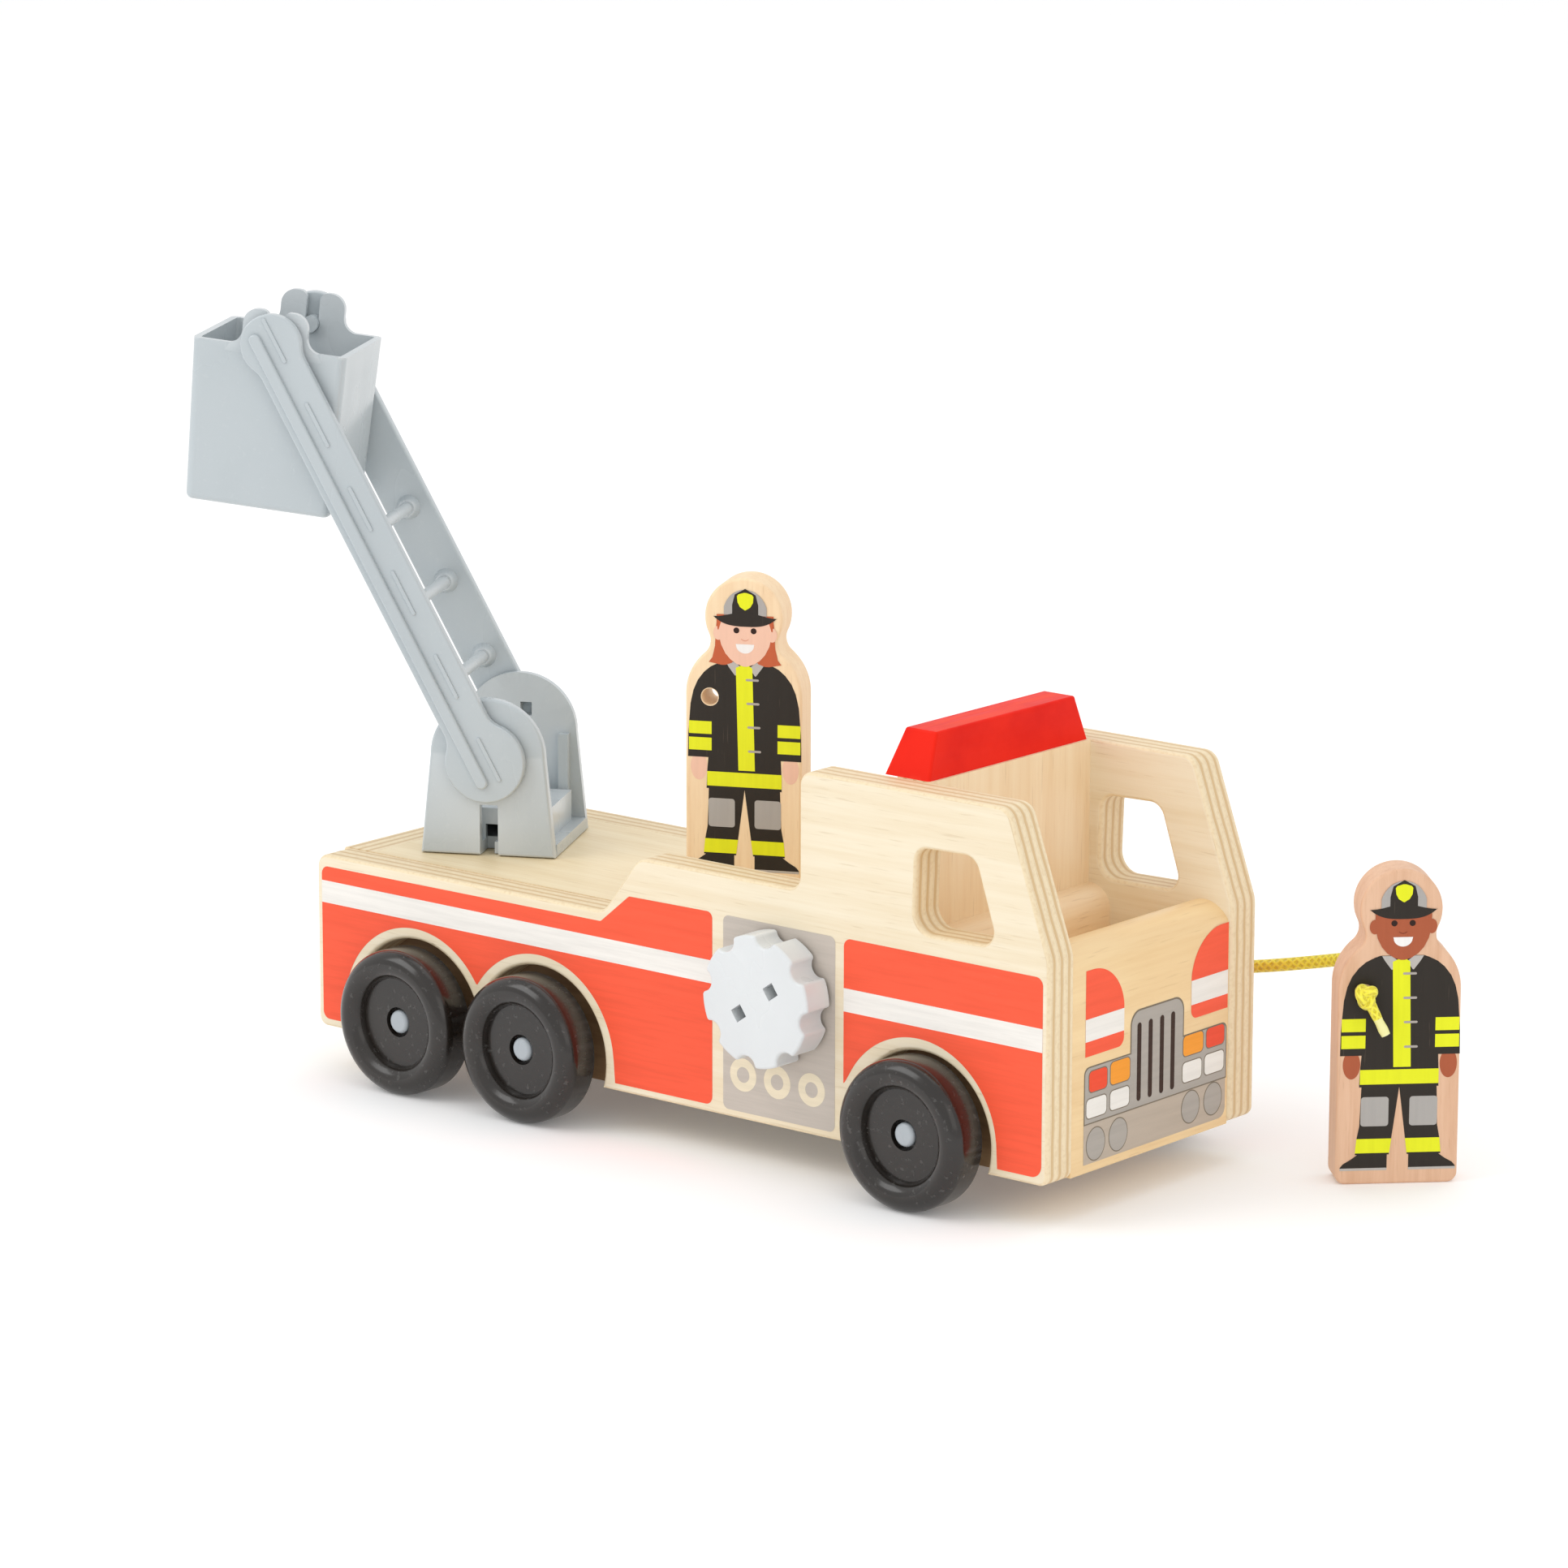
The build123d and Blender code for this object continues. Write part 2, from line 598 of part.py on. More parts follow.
def ladder_rail(side):
    """One rail, with a long bead, short dashes, two pivot pins and the rung bosses."""
    faces = sorted((side * RAIL_INNER_Y, side * (RAIL_INNER_Y + RAIL_THICKNESS)))
    rail = slab(rail_outline(), *faces)
    rail = fillet(face_edges(rail, faces[0]) + face_edges(rail, faces[1]), 0.6)
    rail += raised_bar(-3.3, -6.8, RAIL_LENGTH + 5.3, BEAD_WIDTH, side, BEAD_HEIGHT)
    for i in range(DASH_COUNT):
        low = -7.0 + i * DASH_PITCH
        rail += raised_bar(1.9, low, low + DASH_LENGTH, DASH_WIDTH, side, DASH_HEIGHT)
    for radius, z, reach in ((PIVOT_PIN_R, 0, 4.4), (BUCKET_PIN_R, RAIL_LENGTH, 5.0)):
        pin = sorted((side * (RAIL_INNER_Y - reach), side * (RAIL_INNER_Y + 0.5)))
        rail += rod_y(radius, 0, z, *pin)
    for z in RUNG_PLACES:
        boss = sorted((side * (RAIL_INNER_Y - BOSS_REACH), side * (RAIL_INNER_Y + 0.5)))
        radii = (BOSS_TIP_R, BOSS_ROOT_R) if side > 0 else (BOSS_ROOT_R, BOSS_TIP_R)
        rail += cone_y(*radii, 0, z, *boss)
        rail -= rod_y(RUNG_R, 0, z, *sorted((side * (RAIL_INNER_Y - 4), side * (RAIL_INNER_Y + 1.8))))
    return ladder_location() * rail


def ladder_rung(z):
    """A round rung pressed into the bosses of both rails."""
    reach = RAIL_INNER_Y + 1.6
    return ladder_location() * rod_y(RUNG_R, 0, z, -reach, reach)


# ---- bucket ----
BUCKET_RIM_Z = -1.35
BUCKET_DEPTH = 49.5
BUCKET_WALL = 2.0
BUCKET_TOP = (-25.2, 22.2, 21.2)
BUCKET_FOOT = (-24.0, 21.0, 19.6)


def tapered_box(top, foot, rim_z, foot_z, corner_r):
    """A box that tapers downwards, with round upright corners."""
    sketches = []
    for (back, front, half), z in ((foot, foot_z), (top, rim_z)):
        plan = Pos((back + front) / 2, 0) * RectangleRounded(front - back, 2 * half, corner_r)
        sketches.append((Plane.XY.offset(z) * plan).face())
    return loft(sketches)


def bucket_ear_outline():
    """Two round-headed prongs with a snap slot between them, flared into the rim."""
    prongs = Pos(0, 2.9) * Rectangle(20.0, 13.8)
    prongs = fillet(prongs.vertices().group_by(Axis.Y)[-1], 4.6)
    flare = Pos(0, BUCKET_RIM_Z - 1.35) * Rectangle(30.0, 2.6)
    ear = prongs + flare
    roots = [v for v in ear.vertices() if abs(abs(v.X) - 10.0) < 0.1 and -2.0 < v.Y < 0]
    ear = fillet(roots, 4.4)
    ear -= Circle(BUCKET_PIN_R + RUNNING)
    ear -= Pos(0, 8.0) * Rectangle(4.2, 16.0)
    tips = [v for v in ear.vertices() if v.Y > 3 and abs(abs(v.X) - 2.1) < 0.1]
    return fillet(tips, 2.4)


def bucket():
    """The rescue bucket: an open tapered box that hangs by its two ears."""
    wall = BUCKET_WALL
    foot_z = BUCKET_RIM_Z - BUCKET_DEPTH
    shell = tapered_box(BUCKET_TOP, BUCKET_FOOT, BUCKET_RIM_Z, foot_z, 2.4)
    shell = fillet(shell.edges().group_by(Axis.Z)[0], 2.0)
    inner_top = (BUCKET_TOP[0] + wall, BUCKET_TOP[1] - wall, BUCKET_TOP[2] - wall)
    inner_foot = (BUCKET_FOOT[0] + wall, BUCKET_FOOT[1] - wall, BUCKET_FOOT[2] - wall)
    shell -= tapered_box(inner_top, inner_foot, BUCKET_RIM_Z + 0.01, foot_z + wall, 1.2)
    for side in (-1, 1):
        faces = sorted((side * BUCKET_TOP[2], side * (BUCKET_TOP[2] - wall)))
        shell += slab(bucket_ear_outline(), *faces)
    for side in (-1, 1):
        faces = sorted((side * (BUCKET_TOP[2] - 5), side * (BUCKET_TOP[2] + 1)))
        shell -= rod_y(BUCKET_PIN_R + RUNNING, 0, 0, *faces)
    return ladder_location() * Pos(0, 0, RAIL_LENGTH) * Rot(0, LADDER_LEAN + BUCKET_TILT, 0) * shell


# ---- all nodes ----
def group(solids):
    """Separate solids that share one node."""
    return Compound([piece.solid() for piece in solids])


nodes = {
    "right_side_panel": right_side_panel(),
    "left_side_panel": left_side_panel(),
    "rear_board": rear_board(),
    "bed_deck": bed_deck(),
    "rear_axle_block": rear_axle_block(),
    "front_axle_block": front_axle_block(),
    "front_block": front_block(),
    "cab_back_wall": cab_back_wall(),
    "cab_seat": cab_seat(),
    "light_bar": light_bar(),
    "panel_dowels_right": group(dowel_set(-1, DOWEL_R, 0)),
    "panel_dowels_left": group(dowel_set(1, DOWEL_R, 0)),
    "winch_knob": winch_knob(),
    "winch_shaft": winch_shaft(),
    "hose_spool": hose_spool(),
    "hose_winding": hose_winding(),
    "hose_eyelet": hose_eyelet(),
    "hose": hose(),
    "hose_knot": hose_knot(),
    "hose_tip": hose_tip(),
    "hose_crew_figure": hose_crew_figure(),
    "bay_crew_figure": bay_crew_figure(),
    "turret_base": turret_base(),
    "turret_washer": turret_washer(),
    "turret_screw": turret_screw(),
    "ladder_rail_right": ladder_rail(-1),
    "ladder_rail_left": ladder_rail(1),
    "bucket": bucket(),
}
for place in WHEEL_X:
    nodes["axle_" + place] = axle(place)
    nodes["wheel_" + place + "_right"] = wheel(place, -1)
    nodes["wheel_" + place + "_left"] = wheel(place, 1)
for number, height in enumerate(RUNG_PLACES, start=1):
    nodes["ladder_rung_%d" % number] = ladder_rung(height)

CORD_NODES = ("hose", "hose_winding", "hose_knot", "hose_tip")
boxes = [node.bounding_box() for name, node in nodes.items() if name not in CORD_NODES]
spans = [(min(getattr(b.min, axis) for b in boxes), max(getattr(b.max, axis) for b in boxes)) for axis in "XYZ"]
print("object box without the hose", [(round(low, 3), round(high, 3)) for low, high in spans])
print("middle", [round((low + high) / 2, 3) for low, high in spans[:2]])
for name, node in nodes.items():
    export_step(Pos(-ORIGIN_X, -ORIGIN_Y, 0) * node, "parts/" + name + ".step")
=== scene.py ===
import math

import bpy
import numpy as np
from mathutils import Matrix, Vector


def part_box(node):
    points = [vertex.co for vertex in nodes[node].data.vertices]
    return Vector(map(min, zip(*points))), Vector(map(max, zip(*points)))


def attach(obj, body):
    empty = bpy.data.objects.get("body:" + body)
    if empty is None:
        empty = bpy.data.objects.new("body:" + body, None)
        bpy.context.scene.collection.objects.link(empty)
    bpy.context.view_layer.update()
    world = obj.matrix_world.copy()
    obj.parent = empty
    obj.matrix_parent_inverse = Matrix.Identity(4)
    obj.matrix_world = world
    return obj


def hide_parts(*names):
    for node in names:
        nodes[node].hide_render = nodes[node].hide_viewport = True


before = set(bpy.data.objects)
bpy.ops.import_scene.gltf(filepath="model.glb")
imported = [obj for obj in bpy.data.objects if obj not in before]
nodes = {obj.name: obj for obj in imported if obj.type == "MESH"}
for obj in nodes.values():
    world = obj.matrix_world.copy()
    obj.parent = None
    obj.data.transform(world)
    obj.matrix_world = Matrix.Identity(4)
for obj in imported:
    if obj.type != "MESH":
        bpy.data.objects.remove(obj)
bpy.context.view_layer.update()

# ---- Side panels ----
# The two outer sides are sawn from 12 mm birch plywood of seven plies and clear lacquered. Every long edge is
# eased, so the plies show as pale and tan bands round the whole outline. They are glued and dowelled on.

VENEER = (0.86, 0.765, 0.585, 1)
VENEER_DARK = (0.79, 0.665, 0.46, 1)
PLY_LIGHT = (0.84, 0.70, 0.47, 1)
PLY_TAN = (0.66, 0.47, 0.25, 1)
PLY_COUNT = 7
PANEL_LACQUER = 0.42


def feed(tree, socket, value):
    """Gives a socket a plain value, or links another socket to it."""
    if isinstance(value, bpy.types.NodeSocket):
        tree.links.new(value, socket)
    else:
        socket.default_value = value


def add(tree, kind, inputs=None, **settings):
    """A shader node with its settings and with its inputs, which are values or sockets."""
    node = tree.nodes.new(kind)
    for name, value in settings.items():
        setattr(node, name, value)
    for name, value in (inputs or {}).items():
        feed(tree, node.inputs[name], value)
    return node


def calc(tree, operation, first, second=0.0, clamp=False):
    """One arithmetic step on two values or sockets."""
    node = add(tree, "ShaderNodeMath", operation=operation, use_clamp=clamp)
    feed(tree, node.inputs[0], first)
    feed(tree, node.inputs[1], second)
    return node.outputs[0]


def tint(tree, share, first, second, blend="MIX"):
    """The first colour, passing into the second by a share from 0 to 1."""
    node = add(tree, "ShaderNodeMix", data_type="RGBA", blend_type=blend)
    feed(tree, node.inputs[0], share)
    feed(tree, node.inputs[6], first)
    feed(tree, node.inputs[7], second)
    return node.outputs[2]


def spread(tree, value, low, high, new_low=0.0, new_high=1.0):
    """A value between low and high, spread smoothly to new_low and new_high."""
    node = add(tree, "ShaderNodeMapRange", interpolation_type="SMOOTHSTEP")
    feed(tree, node.inputs["Value"], value)
    feed(tree, node.inputs["From Min"], low)
    feed(tree, node.inputs["From Max"], high)
    feed(tree, node.inputs["To Min"], new_low)
    feed(tree, node.inputs["To Max"], new_high)
    return node.outputs["Result"]


def speckle(tree, place, stretch, scale, detail=3.0, roughness=0.5):
    """Noise over a place, stretched by three numbers first."""
    mapping = add(tree, "ShaderNodeMapping", {"Vector": place, "Scale": stretch})
    settings = {"Vector": mapping.outputs[0], "Scale": scale, "Detail": detail, "Roughness": roughness}
    return add(tree, "ShaderNodeTexNoise", settings).outputs[0]


def new_group(name, inputs, outputs):
    """An empty node group with named inputs, each with its kind and first value, and named outputs."""
    tree = bpy.data.node_groups.new(name, "ShaderNodeTree")
    for label, kind, value in inputs:
        socket = tree.interface.new_socket(label, in_out="INPUT", socket_type=kind)
        if value is not None:
            socket.default_value = value
    for label, kind in outputs:
        tree.interface.new_socket(label, in_out="OUTPUT", socket_type=kind)
    return tree, tree.nodes.new("NodeGroupInput").outputs, tree.nodes.new("NodeGroupOutput").inputs


def build_timber_group():
    """Sawn timber: noise drawn out along the grain, pores, and plies where a face looks off the veneer."""
    tree, given, result = new_group(
        "timber",
        [("Place", "NodeSocketVector", None), ("Facing", "NodeSocketVector", None),
         ("Grain Stretch", "NodeSocketVector", (12, 260, 260)), ("Pale", "NodeSocketColor", VENEER),
         ("Dark", "NodeSocketColor", VENEER_DARK), ("Ply Pale", "NodeSocketColor", PLY_LIGHT),
         ("Ply Dark", "NodeSocketColor", PLY_TAN), ("Ply Axis", "NodeSocketVector", (0, 1, 0)),
         ("Ply Start", "NodeSocketFloat", 0.0), ("Ply Pitch", "NodeSocketFloat", 0.0017),
         ("Ply Share", "NodeSocketFloat", 1.0), ("Finish", "NodeSocketFloat", 0.42)],
        [("Color", "NodeSocketColor"), ("Roughness", "NodeSocketFloat"), ("Height", "NodeSocketFloat")])
    broad = speckle(tree, given["Place"], given["Grain Stretch"], 1.0, 4.0, 0.55)
    fine = speckle(tree, given["Place"], given["Grain Stretch"], 4.5, 3.0, 0.6)
    pores = spread(tree, speckle(tree, given["Place"], given["Grain Stretch"], 9.0, 1.0), 0.66, 0.76)
    cloud = speckle(tree, given["Place"], (1, 1, 1), 22.0, 2.0)
    grain = calc(tree, "ADD", calc(tree, "MULTIPLY", spread(tree, broad, 0.36, 0.68), 0.55),
                 calc(tree, "MULTIPLY", spread(tree, fine, 0.35, 0.7), 0.3))
    grain = calc(tree, "ADD", grain, calc(tree, "MULTIPLY", spread(tree, cloud, 0.35, 0.7), 0.25), True)
    face = tint(tree, grain, given["Pale"], given["Dark"])
    face = tint(tree, calc(tree, "MULTIPLY", pores, 0.16), face, (0.36, 0.2, 0.08, 1))
    depth = add(tree, "ShaderNodeVectorMath", operation="DOT_PRODUCT")
    feed(tree, depth.inputs[0], given["Place"])
    feed(tree, depth.inputs[1], given["Ply Axis"])
    wave = calc(tree, "SUBTRACT", speckle(tree, given["Place"], (1, 1, 1), 120.0, 1.0), 0.5)
    wave = calc(tree, "MULTIPLY", wave, 0.35)
    ply = calc(tree, "SUBTRACT", depth.outputs["Value"], given["Ply Start"])
    ply = calc(tree, "ADD", calc(tree, "DIVIDE", ply, given["Ply Pitch"]), wave)
    odd = calc(tree, "FRACT", calc(tree, "MULTIPLY", ply, 0.5))
    tan = calc(tree, "MULTIPLY", spread(tree, odd, 0.56, 0.64), spread(tree, odd, 0.88, 0.98, 1.0, 0.0))
    off_middle = calc(tree, "ABSOLUTE", calc(tree, "SUBTRACT", calc(tree, "FRACT", ply), 0.5))
    glue = spread(tree, off_middle, 0.42, 0.5)
    edge_grain = speckle(tree, given["Place"], (1, 1, 1), 900.0, 2.0)
    edge = tint(tree, tan, given["Ply Pale"], given["Ply Dark"])
    edge = tint(tree, calc(tree, "MULTIPLY", glue, 0.3), edge, (0.3, 0.16, 0.06, 1))
    edge_grain = calc(tree, "MULTIPLY", spread(tree, edge_grain, 0.4, 0.75), 0.35)
    edge = tint(tree, edge_grain, edge, given["Ply Dark"])
    facing = add(tree, "ShaderNodeVectorMath", operation="DOT_PRODUCT")
    feed(tree, facing.inputs[0], given["Facing"])
    feed(tree, facing.inputs[1], given["Ply Axis"])
    off = spread(tree, calc(tree, "ABSOLUTE", facing.outputs["Value"]), 0.86, 0.97, 1.0, 0.0)
    off = calc(tree, "MULTIPLY", off, given["Ply Share"])
    feed(tree, result["Color"], tint(tree, off, face, edge))
    rough = calc(tree, "ADD", given["Finish"], calc(tree, "MULTIPLY", fine, 0.12))
    feed(tree, result["Roughness"], calc(tree, "ADD", rough, calc(tree, "MULTIPLY", off, 0.12)))
    height = calc(tree, "ADD", calc(tree, "MULTIPLY", fine, 0.6), calc(tree, "MULTIPLY", pores, -0.5))
    height = calc(tree, "ADD", height, calc(tree, "MULTIPLY", calc(tree, "MULTIPLY", tan, off), -0.8))
    feed(tree, result["Height"], height)
    return tree


TIMBER = build_timber_group()


def new_finish(name, **fixed):
    """An empty material with a Principled shader, whose plain settings are set on its own sockets."""
    material = bpy.data.materials.new(name)
    material.use_nodes = True
    tree = material.node_tree
    tree.nodes.clear()
    shader = tree.nodes.new("ShaderNodeBsdfPrincipled")
    output = tree.nodes.new("ShaderNodeOutputMaterial")
    tree.links.new(shader.outputs[0], output.inputs["Surface"])
    for label, value in fixed.items():
        shader.inputs[label.replace("_", " ")].default_value = value
    return material, tree, shader


def raise_surface(tree, shader, height, distance, strength=1.0):
    """A bump of a given depth in metres on the shader's normal."""
    bump = add(tree, "ShaderNodeBump", {"Height": height, "Distance": distance, "Strength": strength})
    feed(tree, shader.inputs["Normal"], bump.outputs[0])


def timber_finish(name, relief=0.00004, coat=0.12, **settings):
    """A lacquered timber material: the timber group with this piece's own grain, plies and colours."""
    material, tree, shader = new_finish(name, Coat_Weight=coat, Coat_Roughness=0.3)
    place = tree.nodes.new("ShaderNodeTexCoord")
    group = add(tree, "ShaderNodeGroup", node_tree=TIMBER)
    feed(tree, group.inputs["Place"], place.outputs["Object"])
    feed(tree, group.inputs["Facing"], place.outputs["Normal"])
    for label, value in settings.items():
        group.inputs[label.replace("_", " ")].default_value = value
    feed(tree, shader.inputs["Base Color"], group.outputs["Color"])
    feed(tree, shader.inputs["Roughness"], group.outputs["Roughness"])
    raise_surface(tree, shader, group.outputs["Height"], relief)
    return material


def dress(names, material):
    """Puts a material on CAD nodes, whose shapes stay as they are."""
    for name in names:
        nodes[name].data.materials.clear()
        nodes[name].data.materials.append(material)


for side in ("right", "left"):
    low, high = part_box(side + "_side_panel")
    plywood = timber_finish(side + "_panel_plywood", Ply_Axis=(0, 1, 0), Ply_Start=low.y,
                            Ply_Pitch=(high.y - low.y) / PLY_COUNT, Grain_Stretch=(9, 210, 210),
                            Finish=PANEL_LACQUER)
    dress([side + "_side_panel"], plywood)

# ---- Bed, tail board, cab wall and seat ----
# Thinner boards of the same plywood stand and lie between the sides. The deck's grain runs lengthways,
# the cab wall's runs up, and only the boards' own edges show plies.

low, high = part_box("bed_deck")
dress(["bed_deck"],
      timber_finish("deck_plywood", Ply_Axis=(0, 0, 1), Ply_Start=low.z, Ply_Pitch=(high.z - low.z) / 5,
                    Grain_Stretch=(9, 190, 190), Pale=(0.87, 0.74, 0.50, 1), Dark=(0.78, 0.62, 0.37, 1)))
low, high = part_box("rear_board")
dress(["rear_board"],
      timber_finish("tail_plywood", Ply_Axis=(1, 0, 0), Ply_Start=low.x,
                    Ply_Pitch=(high.x - low.x) / PLY_COUNT, Grain_Stretch=(210, 9, 210)))
low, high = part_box("cab_back_wall")
dress(["cab_back_wall"],
      timber_finish("cab_wall_plywood", Ply_Axis=(1, 0, 0), Ply_Start=low.x,
                    Ply_Pitch=(high.x - low.x) / PLY_COUNT, Grain_Stretch=(190, 190, 9),
                    Pale=(0.92, 0.74, 0.50, 1), Dark=(0.85, 0.63, 0.385, 1)))
dress(["cab_seat"],
      timber_finish("seat_timber", Ply_Share=0.0, Grain_Stretch=(160, 10, 160),
                    Pale=(0.93, 0.74, 0.50, 1), Dark=(0.85, 0.63, 0.39, 1)))

# ---- Nose block ----
# A solid block of pale softwood closes the front. Its face is flat and its top is shaped into a rounded brow
# that sweeps down to the cab floor. The grain runs across the truck.

dress(["front_block"],
      timber_finish("nose_timber", Ply_Share=0.0, Grain_Stretch=(120, 8, 150),
                    Pale=(0.89, 0.67, 0.37, 1), Dark=(0.80, 0.56, 0.285, 1), Finish=0.36))

# ---- Axle blocks and dowels ----
# Two bare softwood blocks glued under the bed and the cab carry the axles. Hidden dowels join the boards.

dress(["rear_axle_block", "front_axle_block", "panel_dowels_right", "panel_dowels_left"],
      timber_finish("axle_block_timber", coat=0.0, Ply_Share=0.0, Grain_Stretch=(10, 150, 150),
                    Pale=(0.42, 0.26, 0.13, 1), Dark=(0.28, 0.155, 0.07, 1), Finish=0.6))

# ---- Light bar ----
# One bar of hardwood, sprayed signal red and glued to the top edge of the cab wall. The grain still shows
# faintly through the paint, and the paint wears thin on the sharp edges.


def paint_finish(name, colour, deep, worn):
    """Sprayed paint over wood: two close reds in soft clouds, grain relief and a thin coat at the edges."""
    material, tree, shader = new_finish(name, Specular_IOR_Level=0.08)
    place = tree.nodes.new("ShaderNodeTexCoord").outputs["Object"]
    cloud = spread(tree, speckle(tree, place, (1, 1, 1), 55.0, 4.0), 0.35, 0.7)
    grain = speckle(tree, place, (260, 18, 260), 1.6, 3.0, 0.6)
    shade = tint(tree, cloud, colour, deep)
    point = add(tree, "ShaderNodeNewGeometry").outputs["Pointiness"]
    rim = calc(tree, "MULTIPLY", spread(tree, point, 0.53, 0.62), spread(tree, grain, 0.45, 0.6))
    feed(tree, shader.inputs["Base Color"], tint(tree, calc(tree, "MULTIPLY", rim, 0.5), shade, worn))
    feed(tree, shader.inputs["Roughness"], spread(tree, grain, 0.3, 0.7, 0.34, 0.5))
    raise_surface(tree, shader, calc(tree, "ADD", grain, calc(tree, "MULTIPLY", cloud, 0.4)), 0.00007)
    return material


dress(["light_bar"], paint_finish("light_bar_paint", (0.84, 0.020, 0.008, 1), (0.74, 0.012, 0.006, 1),
                                  (0.9, 0.10, 0.05, 1)))

# ---- Printed sides ----
# Flat inks are screen printed on the outer faces before lacquering: red fields with a white band, a warm grey
# panel behind the winch knob, and three rings. Bare wood shows between the fields and along every edge.

ORIGIN = np.array([138.0, 6.88, 0.0])
PRINT_RED = (0.93, 0.108, 0.048)
PRINT_WHITE = (0.86, 0.83, 0.78)
PRINT_GREY = (0.56, 0.50, 0.44)
RING_CREAM = (0.84, 0.74, 0.55)
FIRST_LAYER = 0.05
LAYER_STEP = 0.02


def truck_to_frame(points):
    """Points measured in millimetres from the truck's tail at floor level, in metres in the shared frame."""
    return (np.asarray(points, float) - ORIGIN) / 1000


def between(lower, upper, rows=2):
    """A grid of flat points: each row is a straight blend between the lower line and the upper line."""
    share = np.linspace(0, 1, rows)[:, None, None]
    return np.asarray(lower)[None] * (1 - share) + np.asarray(upper)[None] * share


def corner_inset(x, start, end, at_start, at_end):
    """How far rounded corners pull a line in at each x: a quarter circle at either end."""
    inset = np.zeros_like(x)
    for reach, radius in ((x - start, at_start), (end - x, at_end)):
        if radius > 0:
            short = np.clip(radius - reach, 0, radius)
            inset = inset + radius - np.sqrt(radius ** 2 - short ** 2)
    return inset


def field(start, end, bottom, top, radii=(0, 0, 0, 0), count=90):
    """A field between two lines over x, its corners rounded: bottom start, bottom end, top end, top start."""
    turn = np.linspace(0, np.pi, count)
    x = start + (end - start) * (1 - np.cos(turn)) / 2
    low = bottom(x) if callable(bottom) else np.full_like(x, bottom)
    high = top(x) if callable(top) else np.full_like(x, top)
    low = low + corner_inset(x, start, end, radii[0], radii[1])
    high = high - corner_inset(x, start, end, radii[3], radii[2])
    return between(np.stack([x, low], -1), np.stack([x, np.maximum(high, low)], -1))


def ring(x, z, inner, outer, tall=1.0, count=49):
    """A ring, or a disc when inner is 0: radius runs across the grid and the angle along it."""
    angle = np.linspace(0, 2 * np.pi, count)
    circle = np.stack([np.cos(angle), tall * np.sin(angle)], -1)
    return between(circle * inner, circle * outer) + np.array([x, z])


def printed_sheet(name, fields, lay, material, hole=None):
    """One mesh of many thin printed fields: grids with an ink and a layer, which lay puts on their face.

    Every quad is turned to face the way that lay lifts it. Points inside a hole (x, z, radius) move out to
    its rim, and quads that lie wholly on the rim are left out."""
    points, faces, inks, start = [], [], [], 0
    for grid, ink, layer in fields:
        rows, columns = grid.shape[:2]
        flat = grid.reshape(-1, 2).copy()
        open_quads = np.ones((rows - 1, columns - 1), bool)
        if hole is not None:
            middle, radius = np.array(hole[:2]), hole[2]
            away = np.maximum(np.linalg.norm(flat - middle, axis=1), 0.001)[:, None]
            inside = (away < radius).reshape(rows, columns)
            flat = np.where(away < radius, middle + (flat - middle) / away * radius, flat)
            open_quads = ~(inside[:-1, :-1] & inside[:-1, 1:] & inside[1:, 1:] & inside[1:, :-1])
        placed = lay(flat, FIRST_LAYER + LAYER_STEP * layer)
        index = np.arange(rows * columns).reshape(rows, columns)
        quads = np.stack([index[:-1, :-1], index[:-1, 1:], index[1:, 1:], index[1:, :-1]], -1)[open_quads]
        spans = placed[quads[:, 2]] - placed[quads[:, 0]], placed[quads[:, 3]] - placed[quads[:, 1]]
        lifted = lay(flat[:1], 1.0) - lay(flat[:1], 0.0)
        backward = (np.cross(*spans) @ lifted[0]) < 0
        quads[backward] = quads[backward][:, ::-1]
        points.append(placed)
        faces.append(quads + start)
        inks.append(np.tile([*ink, 1.0], (rows * columns, 1)))
        start += rows * columns
    points, faces = truck_to_frame(np.concatenate(points)), np.concatenate(faces)
    mesh = bpy.data.meshes.new(name)
    mesh.from_pydata(points.tolist(), [], faces.tolist())
    colour = mesh.color_attributes.new("ink", "FLOAT_COLOR", "POINT")
    colour.data.foreach_set("color", np.concatenate(inks).astype(np.float32).ravel())
    mesh.materials.append(material)
    piece = bpy.data.objects.new(name, mesh)
    bpy.context.scene.collection.objects.link(piece)
    return piece


def ink_finish(name, stretch, thin=0.10):
    """Opaque ink over wood: each field's own colour, a little deeper along the grain, with its relief."""
    material, tree, shader = new_finish(name, Specular_IOR_Level=0.22)
    place = tree.nodes.new("ShaderNodeTexCoord").outputs["Object"]
    ink = add(tree, "ShaderNodeVertexColor", layer_name="ink").outputs["Color"]
    grain = speckle(tree, place, stretch, 3.0, 4.0, 0.6)
    pores = spread(tree, speckle(tree, place, stretch, 8.0, 1.0), 0.70, 0.8)
    shade = tint(tree, spread(tree, grain, 0.3, 0.75), (1, 1, 1, 1), (1 - thin, 1 - thin, 1 - thin, 1))
    shade = tint(tree, 1.0, ink, shade, "MULTIPLY")
    shade = tint(tree, calc(tree, "MULTIPLY", pores, 0.05), shade, (0.6, 0.45, 0.3, 1))
    feed(tree, shader.inputs["Base Color"], shade)
    feed(tree, shader.inputs["Roughness"], spread(tree, grain, 0.3, 0.7, 0.4, 0.5))
    raise_surface(tree, shader, grain, 0.00003)
    return material


def over_arches(bottom, arches):
    """The lower edge of a field that rises over wheel arches: the higher of the sill line and each circle."""
    def line(x):
        height = np.full_like(x, bottom)
        for centre, middle, radius in arches:
            inside = np.clip(radius ** 2 - (x - centre) ** 2, 0, None)
            over = np.maximum(height, middle + np.sqrt(inside))
            height = np.where(np.abs(x - centre) < radius, over, height)
        return height
    return line


